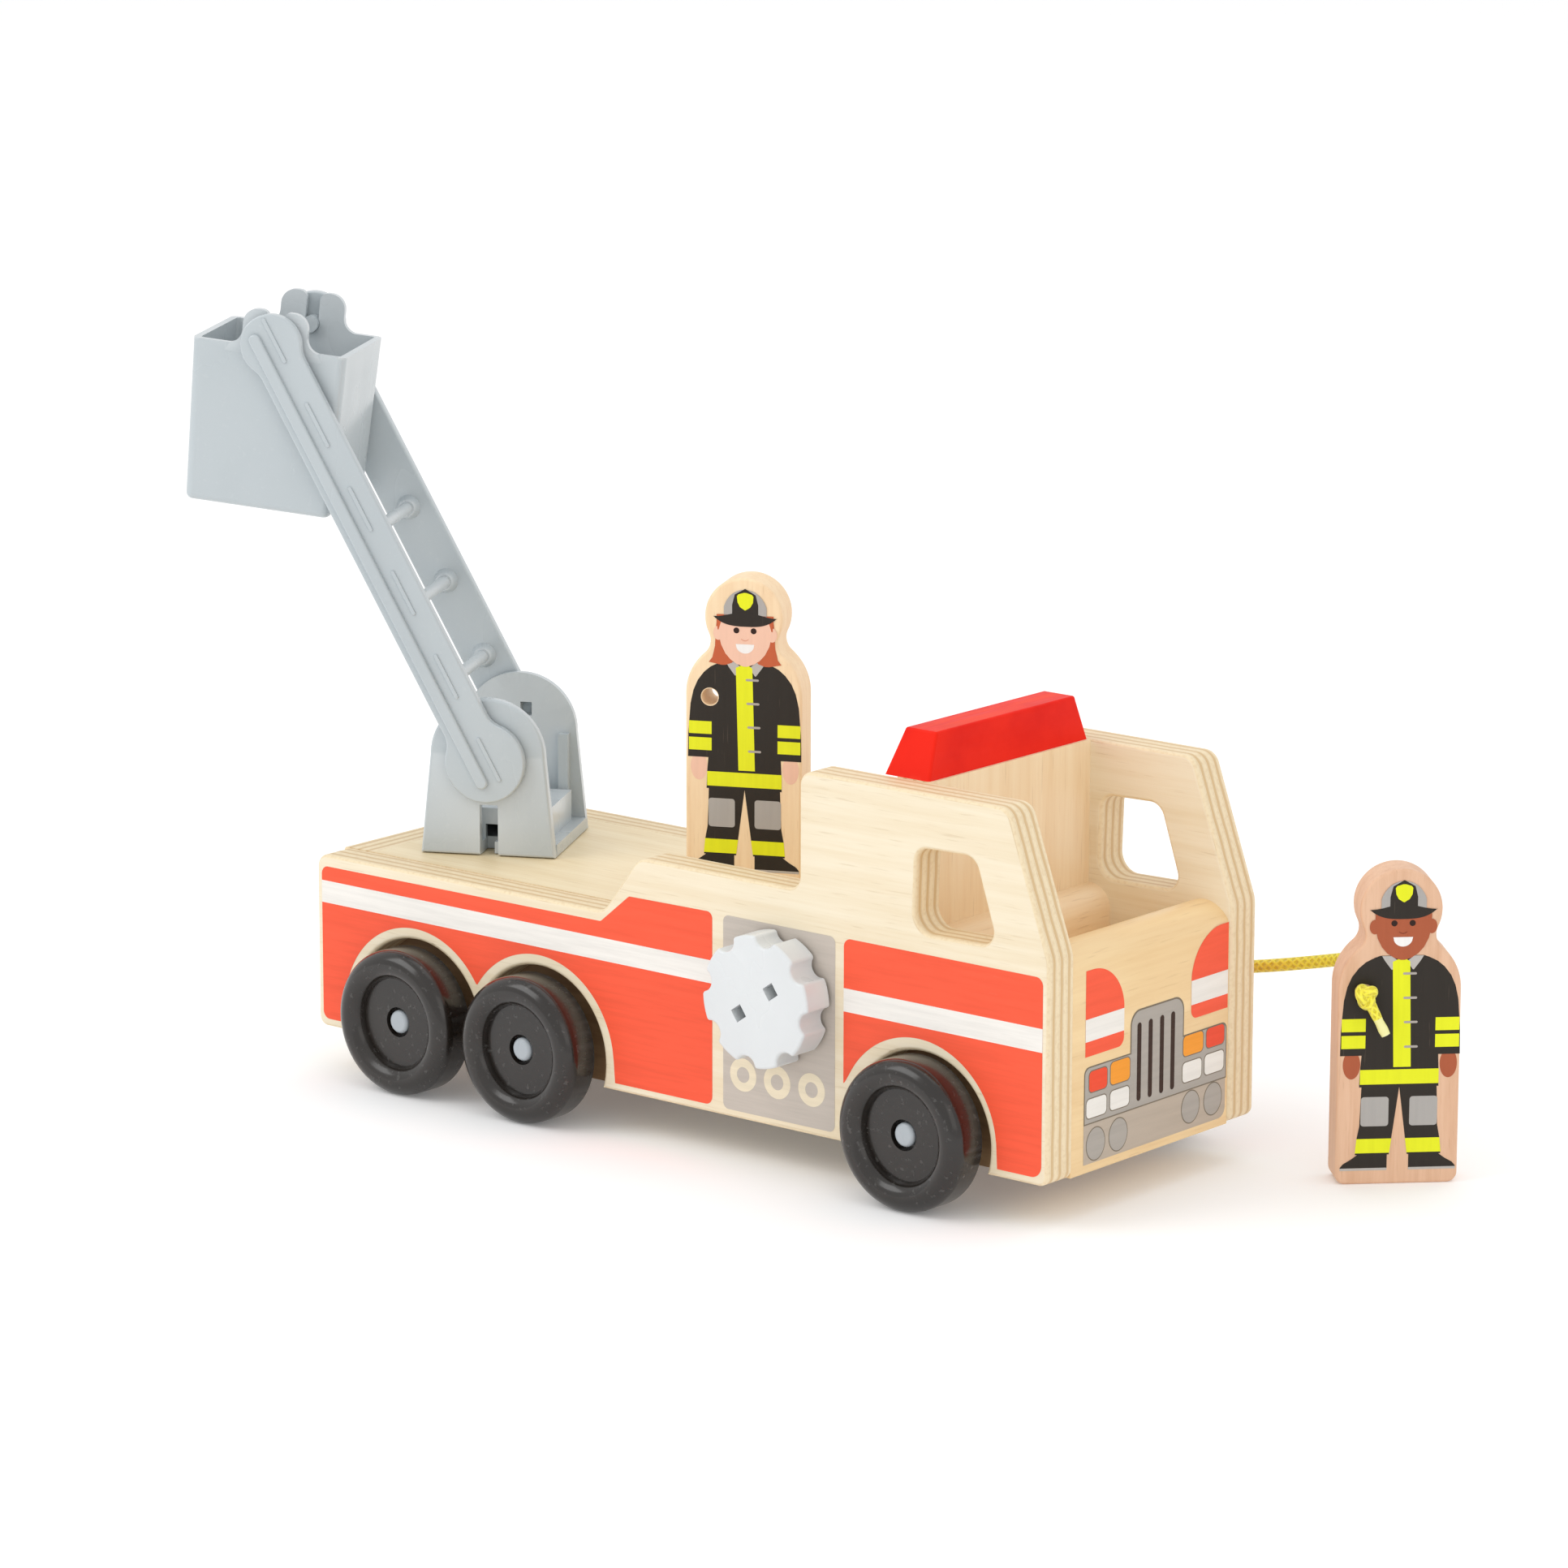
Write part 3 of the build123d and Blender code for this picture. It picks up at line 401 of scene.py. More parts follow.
def bed_line(x):
    """The top edge of the rear field: level along the bed, up the step, and level along the crew bay."""
    return np.interp(x, [0, 113.2, 124.1, 160], [62.7, 63.2, 72.3, 72.7])


SILL = 15.4
PANEL_FACE_Y = 49.0
REAR_ARCHES = [(40.0, 20.0, 29.1), (89.0, 20.0, 29.1)]
FRONT_ARCHES = [(230.9, 20.0, 28.1)]
side_fields = [
    (field(2.0, 155.6, over_arches(SILL, REAR_ARCHES), bed_line, (2.5, 2.5, 2.0, 2.5), 420), PRINT_RED, 0),
    (field(2.0, 155.6, 51.5, 58.3, (0, 0, 0, 0), 4), PRINT_WHITE, 1),
    (field(159.7, 201.0, 15.3, 72.6, (2, 2, 2, 2), 60), PRINT_GREY, 0),
    (field(204.1, 274.7, over_arches(SILL, FRONT_ARCHES), 72.8, (2.5, 3.5, 2.5, 2.5), 240), PRINT_RED, 0),
    (field(204.1, 274.7, 51.5, 58.3, (0, 0, 0, 0), 4), PRINT_WHITE, 1),
]
for centre in (167.2, 179.8, 192.5):
    side_fields.append((ring(centre, 26.4, 2.3, 4.9), RING_CREAM, 1))

side_ink = ink_finish("side_ink", (14, 230, 230))
for side, sign in (("right", -1), ("left", 1)):
    def on_side(flat, lift, sign=sign):
        """Flat points with x along the truck and z up, on the outer face of one side."""
        return np.stack([flat[:, 0], np.full(len(flat), sign * (PANEL_FACE_Y + lift)), flat[:, 1]], -1)
    piece = printed_sheet(side + "_side_print", side_fields, on_side, side_ink)
    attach(piece, "truck")

# ---- Printed nose ----
# The nose carries a grey grille with four dark slots, red, orange and white lamps, two red fins with a white
# band, and a bumper with four outlined discs, all in flat ink with thin dark outlines.

GRILLE_GREY = (0.42, 0.385, 0.345)
BUMPER_GREY = (0.50, 0.42, 0.34)
OUTLINE = (0.20, 0.165, 0.12)
SLOT_BROWN = (0.035, 0.014, 0.008)
NOSE_FACE_X = 275.7
LAMP_RED = (0.86, 0.075, 0.028)
LAMP_ORANGE = (0.92, 0.34, 0.03)
LAMP_WHITE = (0.84, 0.81, 0.76)


def lamp(start, end, bottom, top, ink, layer=2):
    """A rounded lamp with a thin dark outline under it."""
    rim = 0.3
    outline = field(start - rim, end + rim, bottom - rim, top + rim, (1.6,) * 4, 30)
    return [(outline, OUTLINE, layer), (field(start, end, bottom, top, (1.4,) * 4, 30), ink, layer + 1)]


def fin_top(flip):
    """A fin's upper edge: high at the truck's side, falling in an ellipse towards the grille."""
    def line(y):
        along = np.clip((y + 27.5) / 14.8, 0, 1) if flip < 0 else np.clip((33.5 - y) / 14.6, 0, 1)
        return (71.3 if flip < 0 else 72.6) - 14.5 * (1 - np.sqrt(1 - along ** 2))
    return line


nose_fields = [
    (field(-31.1, 36.4, 26.8, 43.5, (0, 0, 2.2, 2.2), 60), OUTLINE, 0),
    (field(-9.7, 15.6, 43.5, 55.5, (0, 0, 4.3, 4.3), 60), OUTLINE, 0),
    (field(-30.7, 36.0, 27.2, 43.1, (0, 0, 2.0, 2.0), 60), GRILLE_GREY, 1),
    (field(-9.2, 15.1, 43.1, 55.0, (0, 0, 4.0, 4.0), 60), GRILLE_GREY, 1),
    (field(-31.1, 36.0, 15.4, 26.8, (0, 3.0, 0, 0), 40), BUMPER_GREY, 0),
    (field(-30.7, -12.8, 46.5, fin_top(-1), (0, 2.6, 0, 0), 60), PRINT_RED, 0),
    (field(-30.7, -12.8, 50.8, 57.3, (0, 0, 0, 0), 4), PRINT_WHITE, 1),
    (field(19.0, 36.6, 47.5, fin_top(1), (2.6, 0, 0, 0), 60), PRINT_RED, 0),
    (field(19.0, 36.6, 51.6, 58.7, (0, 0, 0, 0), 4), PRINT_WHITE, 1),
    *lamp(-28.8, -20.5, 36.0, 42.0, LAMP_RED), *lamp(-18.9, -9.9, 36.1, 42.6, LAMP_ORANGE),
    *lamp(-30.0, -20.7, 28.6, 34.1, LAMP_WHITE), *lamp(-19.0, -10.1, 28.7, 34.3, LAMP_WHITE),
    *lamp(15.4, 24.9, 37.2, 43.1, LAMP_ORANGE), *lamp(26.5, 35.1, 37.4, 43.1, LAMP_RED),
    *lamp(15.2, 24.3, 29.5, 35.3, LAMP_WHITE), *lamp(25.8, 35.0, 29.6, 35.5, LAMP_WHITE),
]
SLOT_HALF = 0.95
for slot_y in (-5.6, -0.3, 5.1, 10.3):
    slot = field(slot_y - SLOT_HALF, slot_y + SLOT_HALF, 28.8, 51.6, (SLOT_HALF,) * 4, 16)
    nose_fields.append((slot, SLOT_BROWN, 3))
for disc_y, disc_z in ((-25.5, 20.7), (-15.0, 21.1), (19.3, 21.8), (30.0, 21.9)):
    nose_fields.append((ring(disc_y, disc_z, 4.15, 4.5, 1.1), OUTLINE, 1))
    nose_fields.append((ring(disc_y, disc_z, 0.0, 4.2, 1.1), GRILLE_GREY, 2))


def on_nose(flat, lift):
    """Flat points with y across the truck and z up, on the nose block's face."""
    return np.stack([np.full(len(flat), NOSE_FACE_X + lift), flat[:, 0], flat[:, 1]], -1)


nose_print = printed_sheet("nose_print", nose_fields, on_nose, ink_finish("nose_ink", (150, 9, 150), 0.08))
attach(nose_print, "truck")

# ---- Crew figures ----
# Flat figures sawn from 12 mm solid beech, with rounded edges and a hose hole through the chest. The front is
# printed in flat inks: helmet, plain face, black coat with bright bands, trousers with knee pads, and boots.

COAT = (0.028, 0.022, 0.017)
BRIGHT = (0.80, 0.84, 0.015)
PAD_GREY = (0.42, 0.40, 0.38)
SHOE_GREY = (0.5, 0.47, 0.44)
BUCKLE = (0.42, 0.38, 0.35)
TEETH = (0.9, 0.88, 0.86)


def sides(heights, left, right, rows=2):
    """A field between a left line and a right line, given at a few heights and joined by straight runs."""
    height = np.linspace(heights[0], heights[-1], 40)
    height = np.unique(np.concatenate([height, heights]))
    turned = [np.stack([np.interp(height, heights, edge), height], -1) for edge in (left, right)]
    return between(turned[0], turned[1], rows)


def blob(x, z, wide, tall, count=41):
    """A filled ellipse."""
    return ring(0, 0, 0.0, 1.0, 1.0, count) * np.array([wide, tall]) + np.array([x, z])


def arc_line(x, start, end, rise):
    """The height of a flat arc at each x, from 0 at its ends to rise in the middle."""
    along = np.clip((x - start) / (end - start), 0, 1)
    return rise * 4 * along * (1 - along)


def crew_fields(skin, lip, hair):
    """All the printed fields of one figure, from the boots up, in millimetres from the middle of its foot."""
    fields = []
    for flip in (-1, 1):
        leg = [(8.7, 12.3), (13.5, 11.9), (17.2, 11.2), (28.6, 10.8)]
        heights = [row[0] for row in leg]
        outer = [flip * row[1] + 0.3 for row in leg]
        inner = [0.35 + flip * (2.6 - 2.6 * (h - 8.7) / 19.9) for h in heights]
        fields.append((sides(heights, inner, outer), COAT, 0))
        cuff = sides([9.2, 13.4], [flip * 2.5 + 0.35, flip * 1.95 + 0.35],
                     [flip * 12.35 + 0.3, flip * 11.95 + 0.3])
        fields.append((cuff, BRIGHT, 1))
        pad_start, pad_end = sorted((0.4 + flip * 3.0, 0.4 + flip * 11.0))
        fields.append((field(pad_start, pad_end, 17.1, 25.7, (0.9, 0.9, 0.9, 0.9), 24), PAD_GREY, 1))
        toe, heel = 0.3 + flip * 16.6, 0.3 + flip * 3.1
        boot_x = [toe, toe - flip * 0.9, toe - flip * 3.0, 0.3 + flip * 11.4, 0.3 + flip * 9.0, heel]
        boot_top = [5.0, 6.1, 7.3, 8.9, 9.0, 9.0]
        x = np.linspace(min(toe, heel), max(toe, heel), 40)
        order = np.argsort(boot_x)
        top = np.interp(x, np.array(boot_x)[order], np.array(boot_top)[order])
        sole = 4.6 + 0 * x
        fields.append((between(np.stack([x, sole - 0.5], -1), np.stack([x, sole + 0.25], -1)), SHOE_GREY, 0))
        upper = np.stack([x, np.maximum(top, sole + 0.3)], -1)
        fields.append((between(np.stack([x, sole + 0.2], -1), upper), COAT, 1))
        hand = blob(flip * 13.9 + 0.4, 35.2, 2.5, 4.2)
        fields.append((hand, skin, -1))
        arm_low, arm_high = sorted((flip * 10.0 + 0.35, flip * 16.9 + 0.35))
        for bottom, top in ((40.0, 43.8), (44.9, 48.7)):
            fields.append((field(arm_low, arm_high, bottom, top, (0, 0, 0, 0), 4), BRIGHT, 2))
        collar = sides([62.9, 65.3, 66.9], [flip * 2.9 + 0.6, flip * 1.2 + 0.6, flip * 3.2 + 0.6],
                       [flip * 3.2 + 0.6, flip * 5.0 + 0.6, flip * 6.0 + 0.6])
        fields.append((collar, SHOE_GREY, 3))
    arm_heights = [37.9, 45.0, 54.0, 58.0, 61.0, 63.5, 65.2, 66.4, 67.0]
    arm_outer = [17.2, 17.1, 16.4, 15.5, 14.2, 12.3, 10.3, 7.9, 6.2]
    coat = sides(arm_heights, [0.35 - w for w in arm_outer], [0.35 + w for w in arm_outer], 60)
    fields.append((coat, COAT, 0))
    fields.append((sides([28.6, 33.8, 38.5], [-11.2, -11.0, -10.6], [11.6, 11.5, 11.3]), COAT, 1))
    fields.append((sides([29.4, 33.7], [-11.0, -11.0], [11.6, 11.6]), BRIGHT, 2))
    fields.append((sides([34.4, 65.2, 66.4], [-1.5, -2.3, 0.3], [3.5, 2.7, 0.9]), BRIGHT, 4))
    for z, x in ((61.7, 0.8), (54.6, 1.0), (47.5, 1.3), (40.3, 1.5)):
        fields.append((field(x - 0.1, x + 3.9, z - 0.35, z + 0.35, (0.35, 0.35, 0.35, 0.35), 12), BUCKLE, 5))
    if hair is not None:
        for flip in (-1, 1):
            lock = sides([65.9, 66.6, 68.0, 71.5, 76.0, 81.0],
                         [flip * width + 0.5 for width in (6.0, 4.0, 3.0, 3.0, 3.0, 3.0)],
                         [flip * width + 0.5 for width in (7.2, 11.0, 9.9, 9.1, 8.9, 8.4)])
            fields.append((lock, hair, 4))
    fields.append((blob(-7.6, 75.4, 1.5, 2.1), skin, 5))
    fields.append((blob(8.7, 75.4, 1.5, 2.1), skin, 5))
    face_heights = [65.7, 66.4, 67.6, 69.4, 72.0, 75.0, 80.0]
    face_half = [0.6, 2.6, 4.4, 6.0, 7.3, 8.0, 8.1]
    face = sides(face_heights, [0.55 - w for w in face_half], [0.55 + w for w in face_half])
    fields.append((face, skin, 6))
    if hair is not None:
        for flip in (-1, 1):
            fringe = sides([76.4, 79.0, 81.0], [flip * width + 0.5 for width in (8.0, 7.2, 5.0)],
                           [flip * width + 0.5 for width in (8.3, 8.6, 8.6)])
            fields.append((fringe, hair, 7))
    for x in (-2.1, 3.1):
        fields.append((blob(x, 76.4, 0.88, 0.88), (0.03, 0.012, 0.008), 8))
    x = np.linspace(-2.3, 3.3, 24)
    smile = 72.3 - 2.7 * np.sqrt(np.clip(1 - ((x - 0.5) / 2.8) ** 2, 0, 1))
    fields.append((between(np.stack([x, smile], -1), np.stack([x, 0 * x + 72.35], -1)), TEETH, 8))
    x = np.linspace(-0.7, 1.6, 12)
    nose = 73.9 - arc_line(x, -0.7, 1.6, 0.5)
    fields.append((between(np.stack([x, nose - 0.14], -1), np.stack([x, nose + 0.14], -1)), lip, 8))
    x = np.linspace(-5.9, 7.0, 50)
    dome = 80.9 + 7.7 * np.sqrt(np.clip(1 - ((x - 0.55) / 6.8) ** 2, 0, 1))
    fields.append((between(np.stack([x, 0 * x + 80.5], -1), np.stack([x, dome], -1)), PAD_GREY, 7))
    x = np.linspace(-3.4, 4.5, 40)
    panel = np.interp(x, [-3.4, -2.6, 0.55, 3.7, 4.5], [84.0, 87.1, 88.9, 87.1, 84.0])
    fields.append((between(np.stack([x, 0 * x + 80.5], -1), np.stack([x, panel], -1)), COAT, 8))
    x = np.linspace(-10.0, 11.0, 60)
    along = (x - 0.5) / 10.5
    brim_top = 81.1 + 0.9 * np.cos(along * np.pi) * (1 - 0.35 * along ** 2) - 0.1
    brim_low = np.maximum(77.6 + 3.2 * np.abs(along) ** 3.5 + 0.6 * along ** 2, 77.5)
    brim_low = np.minimum(brim_low, brim_top)
    fields.append((between(np.stack([x, brim_low], -1), np.stack([x, brim_top], -1)), COAT, 9))
    shield = sides([82.5, 83.4, 84.8, 86.6, 87.2, 87.7], [0.45, -1.0, -1.75, -1.95, -1.5, 0.2],
                   [0.65, 2.1, 2.9, 3.05, 2.6, 0.9])
    fields.append((shield, BRIGHT, 10))
    return fields


def crew_place(x, y, base, yaw):
    """Lays flat points on a figure's front face: across along its width, up along its height."""
    across = np.array([math.cos(yaw), math.sin(yaw), 0.0])
    front = np.array([math.sin(yaw), -math.cos(yaw), 0.0])
    foot = np.array([x, y, base])
    upward = np.array([0.0, 0.0, 1.0])
    return lambda flat, lift: foot + flat[:, :1] * across + flat[:, 1:] * upward + lift * front


figure_timber = timber_finish("hose_figure_beech", Ply_Share=0.0, Grain_Stretch=(260, 260, 16), coat=0.05,
                              Pale=(0.79, 0.51, 0.34, 1), Dark=(0.68, 0.40, 0.245, 1), Finish=0.5)
bay_timber = timber_finish("bay_figure_beech", Ply_Share=0.0, Grain_Stretch=(260, 260, 16), coat=0.05,
                           Pale=(0.93, 0.73, 0.48, 1), Dark=(0.85, 0.62, 0.38, 1), Finish=0.5)
dress(["hose_crew_figure"], figure_timber)
dress(["bay_crew_figure"], bay_timber)
crew_ink = ink_finish("crew_ink", (230, 230, 14), 0.05)
HOSE_STAND = (322.8, 54.4, 0.0, math.radians(45.0))
BAY_STAND = (124.0, 2.7, 66.2, math.radians(25.3))
CHEST_HOLE = (-10.2, 56.1, 2.75)
figures = (("hose_figure_print", "truck", HOSE_STAND, (0.42, 0.105, 0.045), (0.25, 0.05, 0.02), None),
           ("bay_figure_print", "bay_crew", BAY_STAND,
            (0.88, 0.56, 0.42), (0.75, 0.36, 0.24), (0.55, 0.12, 0.045)))
for name, body, stand, skin, lip, hair in figures:
    print_piece = printed_sheet(name, crew_fields(skin, lip, hair), crew_place(*stand), crew_ink, CHEST_HOLE)
    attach(print_piece, body)

# ---- Turret, ladder and bucket ----
# Injection moulded in pale blue-grey plastic. The turret turns on a spigot, the rails snap outside its ears,
# and the bucket hangs in snap hooks at the ladder's head.


def moulded_finish(name, colour, deep, rough, sheen=0.0, grit=0.00001):
    """Moulded plastic: soft cloudy flow in two close colours, a painted highlight on convex edges and a fine
    texture.
    """
    material, tree, shader = new_finish(name, Specular_IOR_Level=0.5, Coat_Weight=sheen, Coat_Roughness=0.12)
    place = tree.nodes.new("ShaderNodeTexCoord").outputs["Object"]
    flow = spread(tree, speckle(tree, place, (1, 1, 0.45), 38.0, 3.0), 0.3, 0.72)
    dust = spread(tree, speckle(tree, place, (1, 1, 1), 700.0, 2.0), 0.62, 0.72)
    fine = speckle(tree, place, (1, 1, 1), 2600.0, 2.0)
    shade = tint(tree, flow, colour, deep)
    point = add(tree, "ShaderNodeNewGeometry").outputs["Pointiness"]
    # Convex edges are mixed towards a pale grey: a painted highlight along the edges.
    rim = spread(tree, point, 0.52, 0.6)
    shade = tint(tree, calc(tree, "MULTIPLY", rim, 0.22), shade, (0.85, 0.87, 0.88, 1))
    shade = tint(tree, calc(tree, "MULTIPLY", dust, 0.04), shade, (0.9, 0.9, 0.88, 1))
    feed(tree, shader.inputs["Base Color"], shade)
    feed(tree, shader.inputs["Roughness"], spread(tree, flow, 0.0, 1.0, rough - 0.04, rough + 0.06))
    raise_surface(tree, shader, fine, grit)
    return material


grey_plastic = moulded_finish("blue_grey_plastic", (0.475, 0.525, 0.55, 1), (0.45, 0.50, 0.525, 1), 0.27,
                              0.25)
dress(["turret_base", "ladder_rail_right", "ladder_rail_left", "bucket"], grey_plastic)
dress(["ladder_rung_%d" % number for number in (1, 2, 3)], grey_plastic)

# ---- Wheels and axles ----
# Each wheel is one moulding in near-black plastic with a soft shine on its round bead and a duller sunk disc.
# The axle ends are domed in pale grey plastic and sit flush in the hub.

dress(["wheel_%s_%s" % (row, side) for row in ("rear", "middle", "front") for side in ("right", "left")],
      moulded_finish("wheel_plastic", (0.012, 0.009, 0.007, 1), (0.017, 0.013, 0.010, 1), 0.22, 0.2,
                     0.000005))
dress(["axle_rear", "axle_middle", "axle_front"],
      moulded_finish("axle_plastic", (0.42, 0.46, 0.49, 1), (0.38, 0.42, 0.45, 1), 0.3))

# ---- Winch knob and small fittings ----
# The knob is a thick white moulding pressed on a steel shaft. The eyelet is the same plastic. The screw and
# washer that hold the turret are zinc plated steel.

dress(["winch_knob", "hose_spool", "hose_eyelet"],
      moulded_finish("white_plastic", (0.70, 0.725, 0.735, 1), (0.67, 0.695, 0.705, 1), 0.3, 0.1))


def steel_finish(name):
    """Zinc plated steel: fine turned rings of roughness over a cool grey."""
    material, tree, shader = new_finish(name, Metallic=1.0)
    place = tree.nodes.new("ShaderNodeTexCoord").outputs["Object"]
    lines = speckle(tree, place, (600, 40, 600), 1.0, 3.0)
    feed(tree, shader.inputs["Base Color"], tint(tree, lines, (0.62, 0.62, 0.63, 1), (0.5, 0.5, 0.52, 1)))
    feed(tree, shader.inputs["Roughness"], spread(tree, lines, 0.3, 0.7, 0.25, 0.42))
    raise_surface(tree, shader, lines, 0.00001)
    return material


dress(["winch_shaft", "turret_washer", "turret_screw"], steel_finish("zinc_steel"))

# ---- Hose end ----
# In front of the chest the cord is tied in one tight overhand knot that keeps it from slipping back. Its
# short tail hangs from the knot, and the end is melted into a pale, hard, slightly flared stub.

HOSE_LENGTH = 0.187
HOSE_YELLOW = (0.95, 0.87, 0.06, 1)
HOSE_SHADE = (0.72, 0.60, 0.02, 1)
KNOT_STRAND_R = 1.5
KNOT_POINTS = 120
TAIL_RINGS = 28
MELTED_FROM_RING = 14
TAIL_SIDES = 16


def braid_finish(name, courses=62, strands=5):
    """Braided cord: two sets of round strands cross at an angle round it, read from the cord's own UV map,
    with painted shade in the grooves between them.
    """
    material, tree, shader = new_finish(name, Sheen_Weight=0.25, Sheen_Roughness=0.5, Specular_IOR_Level=0.2)
    place = tree.nodes.new("ShaderNodeTexCoord")
    split = add(tree, "ShaderNodeSeparateXYZ", {"Vector": place.outputs["UV"]})
    along = calc(tree, "MULTIPLY", split.outputs["X"], courses)
    around = calc(tree, "MULTIPLY", split.outputs["Y"], strands)
    crowns = []
    for lean in ("ADD", "SUBTRACT"):
        across = calc(tree, "FRACT", calc(tree, lean, calc(tree, "ADD", along, 100.0), around))
        off_middle = calc(tree, "ABSOLUTE", calc(tree, "SUBTRACT", across, 0.5))
        crowns.append(spread(tree, off_middle, 0.0, 0.5, 1.0, 0.0))
    crown = calc(tree, "MAXIMUM", *crowns)
    fibre = speckle(tree, place.outputs["Object"], (1, 1, 1), 2200.0, 2.0)
    # The grooves between the strand crowns take the darker hose colour: painted shade in the creases of the
    # braid.
    shade = tint(tree, spread(tree, crown, 0.35, 0.9), HOSE_SHADE, HOSE_YELLOW)
    feed(tree, shader.inputs["Base Color"],
         tint(tree, calc(tree, "MULTIPLY", spread(tree, fibre, 0.4, 0.7), 0.3), shade, (0.97, 0.92, 0.25, 1)))
    shader.inputs["Roughness"].default_value = 0.62
    raise_surface(tree, shader, calc(tree, "ADD", crown, calc(tree, "MULTIPLY", fibre, 0.25)), 0.0003)
    return material


def tube_along(name, path, radii, towards, materials, looped=False, sides=16):
    """A round tube: rings stand square to a path in millimetres, turned by a direction given at each point.

    Its UV map runs along the tube in hose lengths and once round it. Open ends are closed with a flat cap."""
    path, radii = np.asarray(path, float), np.broadcast_to(np.asarray(radii, float), len(path))
    ahead = np.roll(path, -1, 0) - np.roll(path, 1, 0) if looped else np.gradient(path, axis=0)
    ahead /= np.linalg.norm(ahead, axis=1)[:, None]
    first = towards - np.sum(towards * ahead, 1)[:, None] * ahead
    first /= np.linalg.norm(first, axis=1)[:, None]
    second = np.cross(ahead, first)
    angle = np.linspace(0, 2 * np.pi, sides, endpoint=False)[None, :, None]
    outward = np.cos(angle) * first[:, None] + np.sin(angle) * second[:, None]
    rings = path[:, None] + radii[:, None, None] * outward
    row = np.arange(len(path) if looped else len(path) - 1)
    next_row = (row + 1) % len(path)
    side = np.arange(sides)
    next_side = (side + 1) % sides
    index = np.arange(len(path) * sides).reshape(len(path), sides)
    quads = np.stack([index[row][:, side], index[row][:, next_side], index[next_row][:, next_side],
                      index[next_row][:, side]], -1).reshape(-1, 4)
    caps = [] if looped else [index[0, ::-1].tolist(), index[-1].tolist()]
    mesh = bpy.data.meshes.new(name)
    mesh.from_pydata(truck_to_frame(rings.reshape(-1, 3)).tolist(), [], quads.tolist() + caps)
    steps = np.linalg.norm(np.diff(path, axis=0, append=path[:1]), axis=1) / (1000 * HOSE_LENGTH)
    start = np.concatenate([[0], np.cumsum(steps)])[row]
    along = np.stack([start, start, start + steps[row], start + steps[row]], -1)[:, None].repeat(sides, 1)
    around = np.stack([side, side + 1, side + 1, side], -1)[None].repeat(len(row), 0) / sides
    corners = np.stack([along, around], -1).reshape(-1, 2)
    corners = np.concatenate([corners, np.zeros((sides * len(caps), 2))])
    mesh.uv_layers.new(name="UVMap").data.foreach_set("uv", corners.astype(np.float32).ravel())
    mesh.polygons.foreach_set("use_smooth", [True] * len(quads) + [False] * len(caps))
    for material in materials:
        mesh.materials.append(material)
    piece = bpy.data.objects.new(name, mesh)
    bpy.context.scene.collection.objects.link(piece)
    return piece


braid = braid_finish("yellow_braid")
chest = crew_place(*HOSE_STAND)
hole_middle = np.array(CHEST_HOLE[:2])
turn = np.linspace(0, 2 * np.pi, KNOT_POINTS, endpoint=False)
loops = np.stack([0.70 * (np.sin(turn) + 2 * np.sin(2 * turn)), 0.86 * (np.cos(turn) - 2 * np.cos(2 * turn))],
                 -1)
knot_line = chest(hole_middle + loops, (3.0 - 1.3 * np.sin(3 * turn))[:, None])
knot_middle = chest(hole_middle[None], 3.0)
knot = tube_along("hose_end_knot", knot_line, KNOT_STRAND_R, knot_line - knot_middle, [braid], looped=True)
fused = moulded_finish("fused_hose_end", (0.90, 0.88, 0.46, 1), (0.86, 0.82, 0.30, 1), 0.22, 0.4)
drop = np.linspace(1.5, 12.3, TAIL_RINGS)
tail_line = chest(hole_middle + drop[:, None] * np.array([0.44, -0.89]), (3.6 + 0.12 * drop)[:, None])
tail_radii = np.interp(drop, [1.5, 5.0, 8.0, 10.5, 12.3], [1.6, 1.5, 1.3, 1.5, 1.35])
upward = np.tile([0.0, 0.0, 1.0], (TAIL_RINGS, 1))
tail = tube_along("hose_end_tail", tail_line, tail_radii, upward, [braid, fused], sides=TAIL_SIDES)
for polygon in tail.data.polygons[TAIL_SIDES * MELTED_FROM_RING:]:
    polygon.material_index = 1
for piece, stands_for in ((knot, "hose_knot"), (tail, "hose_tip")):
    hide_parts(stands_for)
    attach(piece, "truck")

# ---- Wound hose ----
# The rest of the cord lies on the spool in one close layer of turns between the two flanges. It is held there
# by its own grip and turns with the knob and the shaft.

WINCH_AXIS = (180.4, 52.2)
WINDING_TURNS = 13.8
WINDING_RINGS = 420
WINDING_R = 5.4
WINDING_HALF = 26.4
WINDING_STRAND_R = 1.88
wind = np.linspace(0, 2 * np.pi * WINDING_TURNS, WINDING_RINGS)
outward = np.stack([np.cos(wind), 0 * wind, np.sin(wind)], -1)
axis_line = np.stack([WINCH_AXIS[0] + 0 * wind, np.linspace(-WINDING_HALF, WINDING_HALF, WINDING_RINGS),
                      WINCH_AXIS[1] + 0 * wind], -1)
coil = tube_along("hose_coil", axis_line + outward * WINDING_R, WINDING_STRAND_R, outward, [braid],
                  sides=14)
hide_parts("hose_winding")
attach(coil, "winch")

# ---- Free hose ----
# A bright yellow braided cord stands for the hose. It leaves the spool through the eyelet in the left side,
# lies slack beside the cab and is threaded through the figure's chest from behind.

HOSE_DIAMETER = 0.0038
HOSE_ROUTE = np.array([
    (188.3, 17.0, 46.8), (192.5, 31.5, 46.8), (192.5, 54.0, 46.8), (196.5, 66.0, 45.4), (207.0, 77.0, 43.9),
    (229.0, 81.0, 43.6), (247.0, 79.0, 46.2), (264.0, 75.0, 50.3), (281.0, 74.5, 54.4), (292.5, 74.0, 57.4),
    (299.8, 67.4, 57.5), (307.81, 54.97, 56.1), (315.16, 47.61, 56.1)])

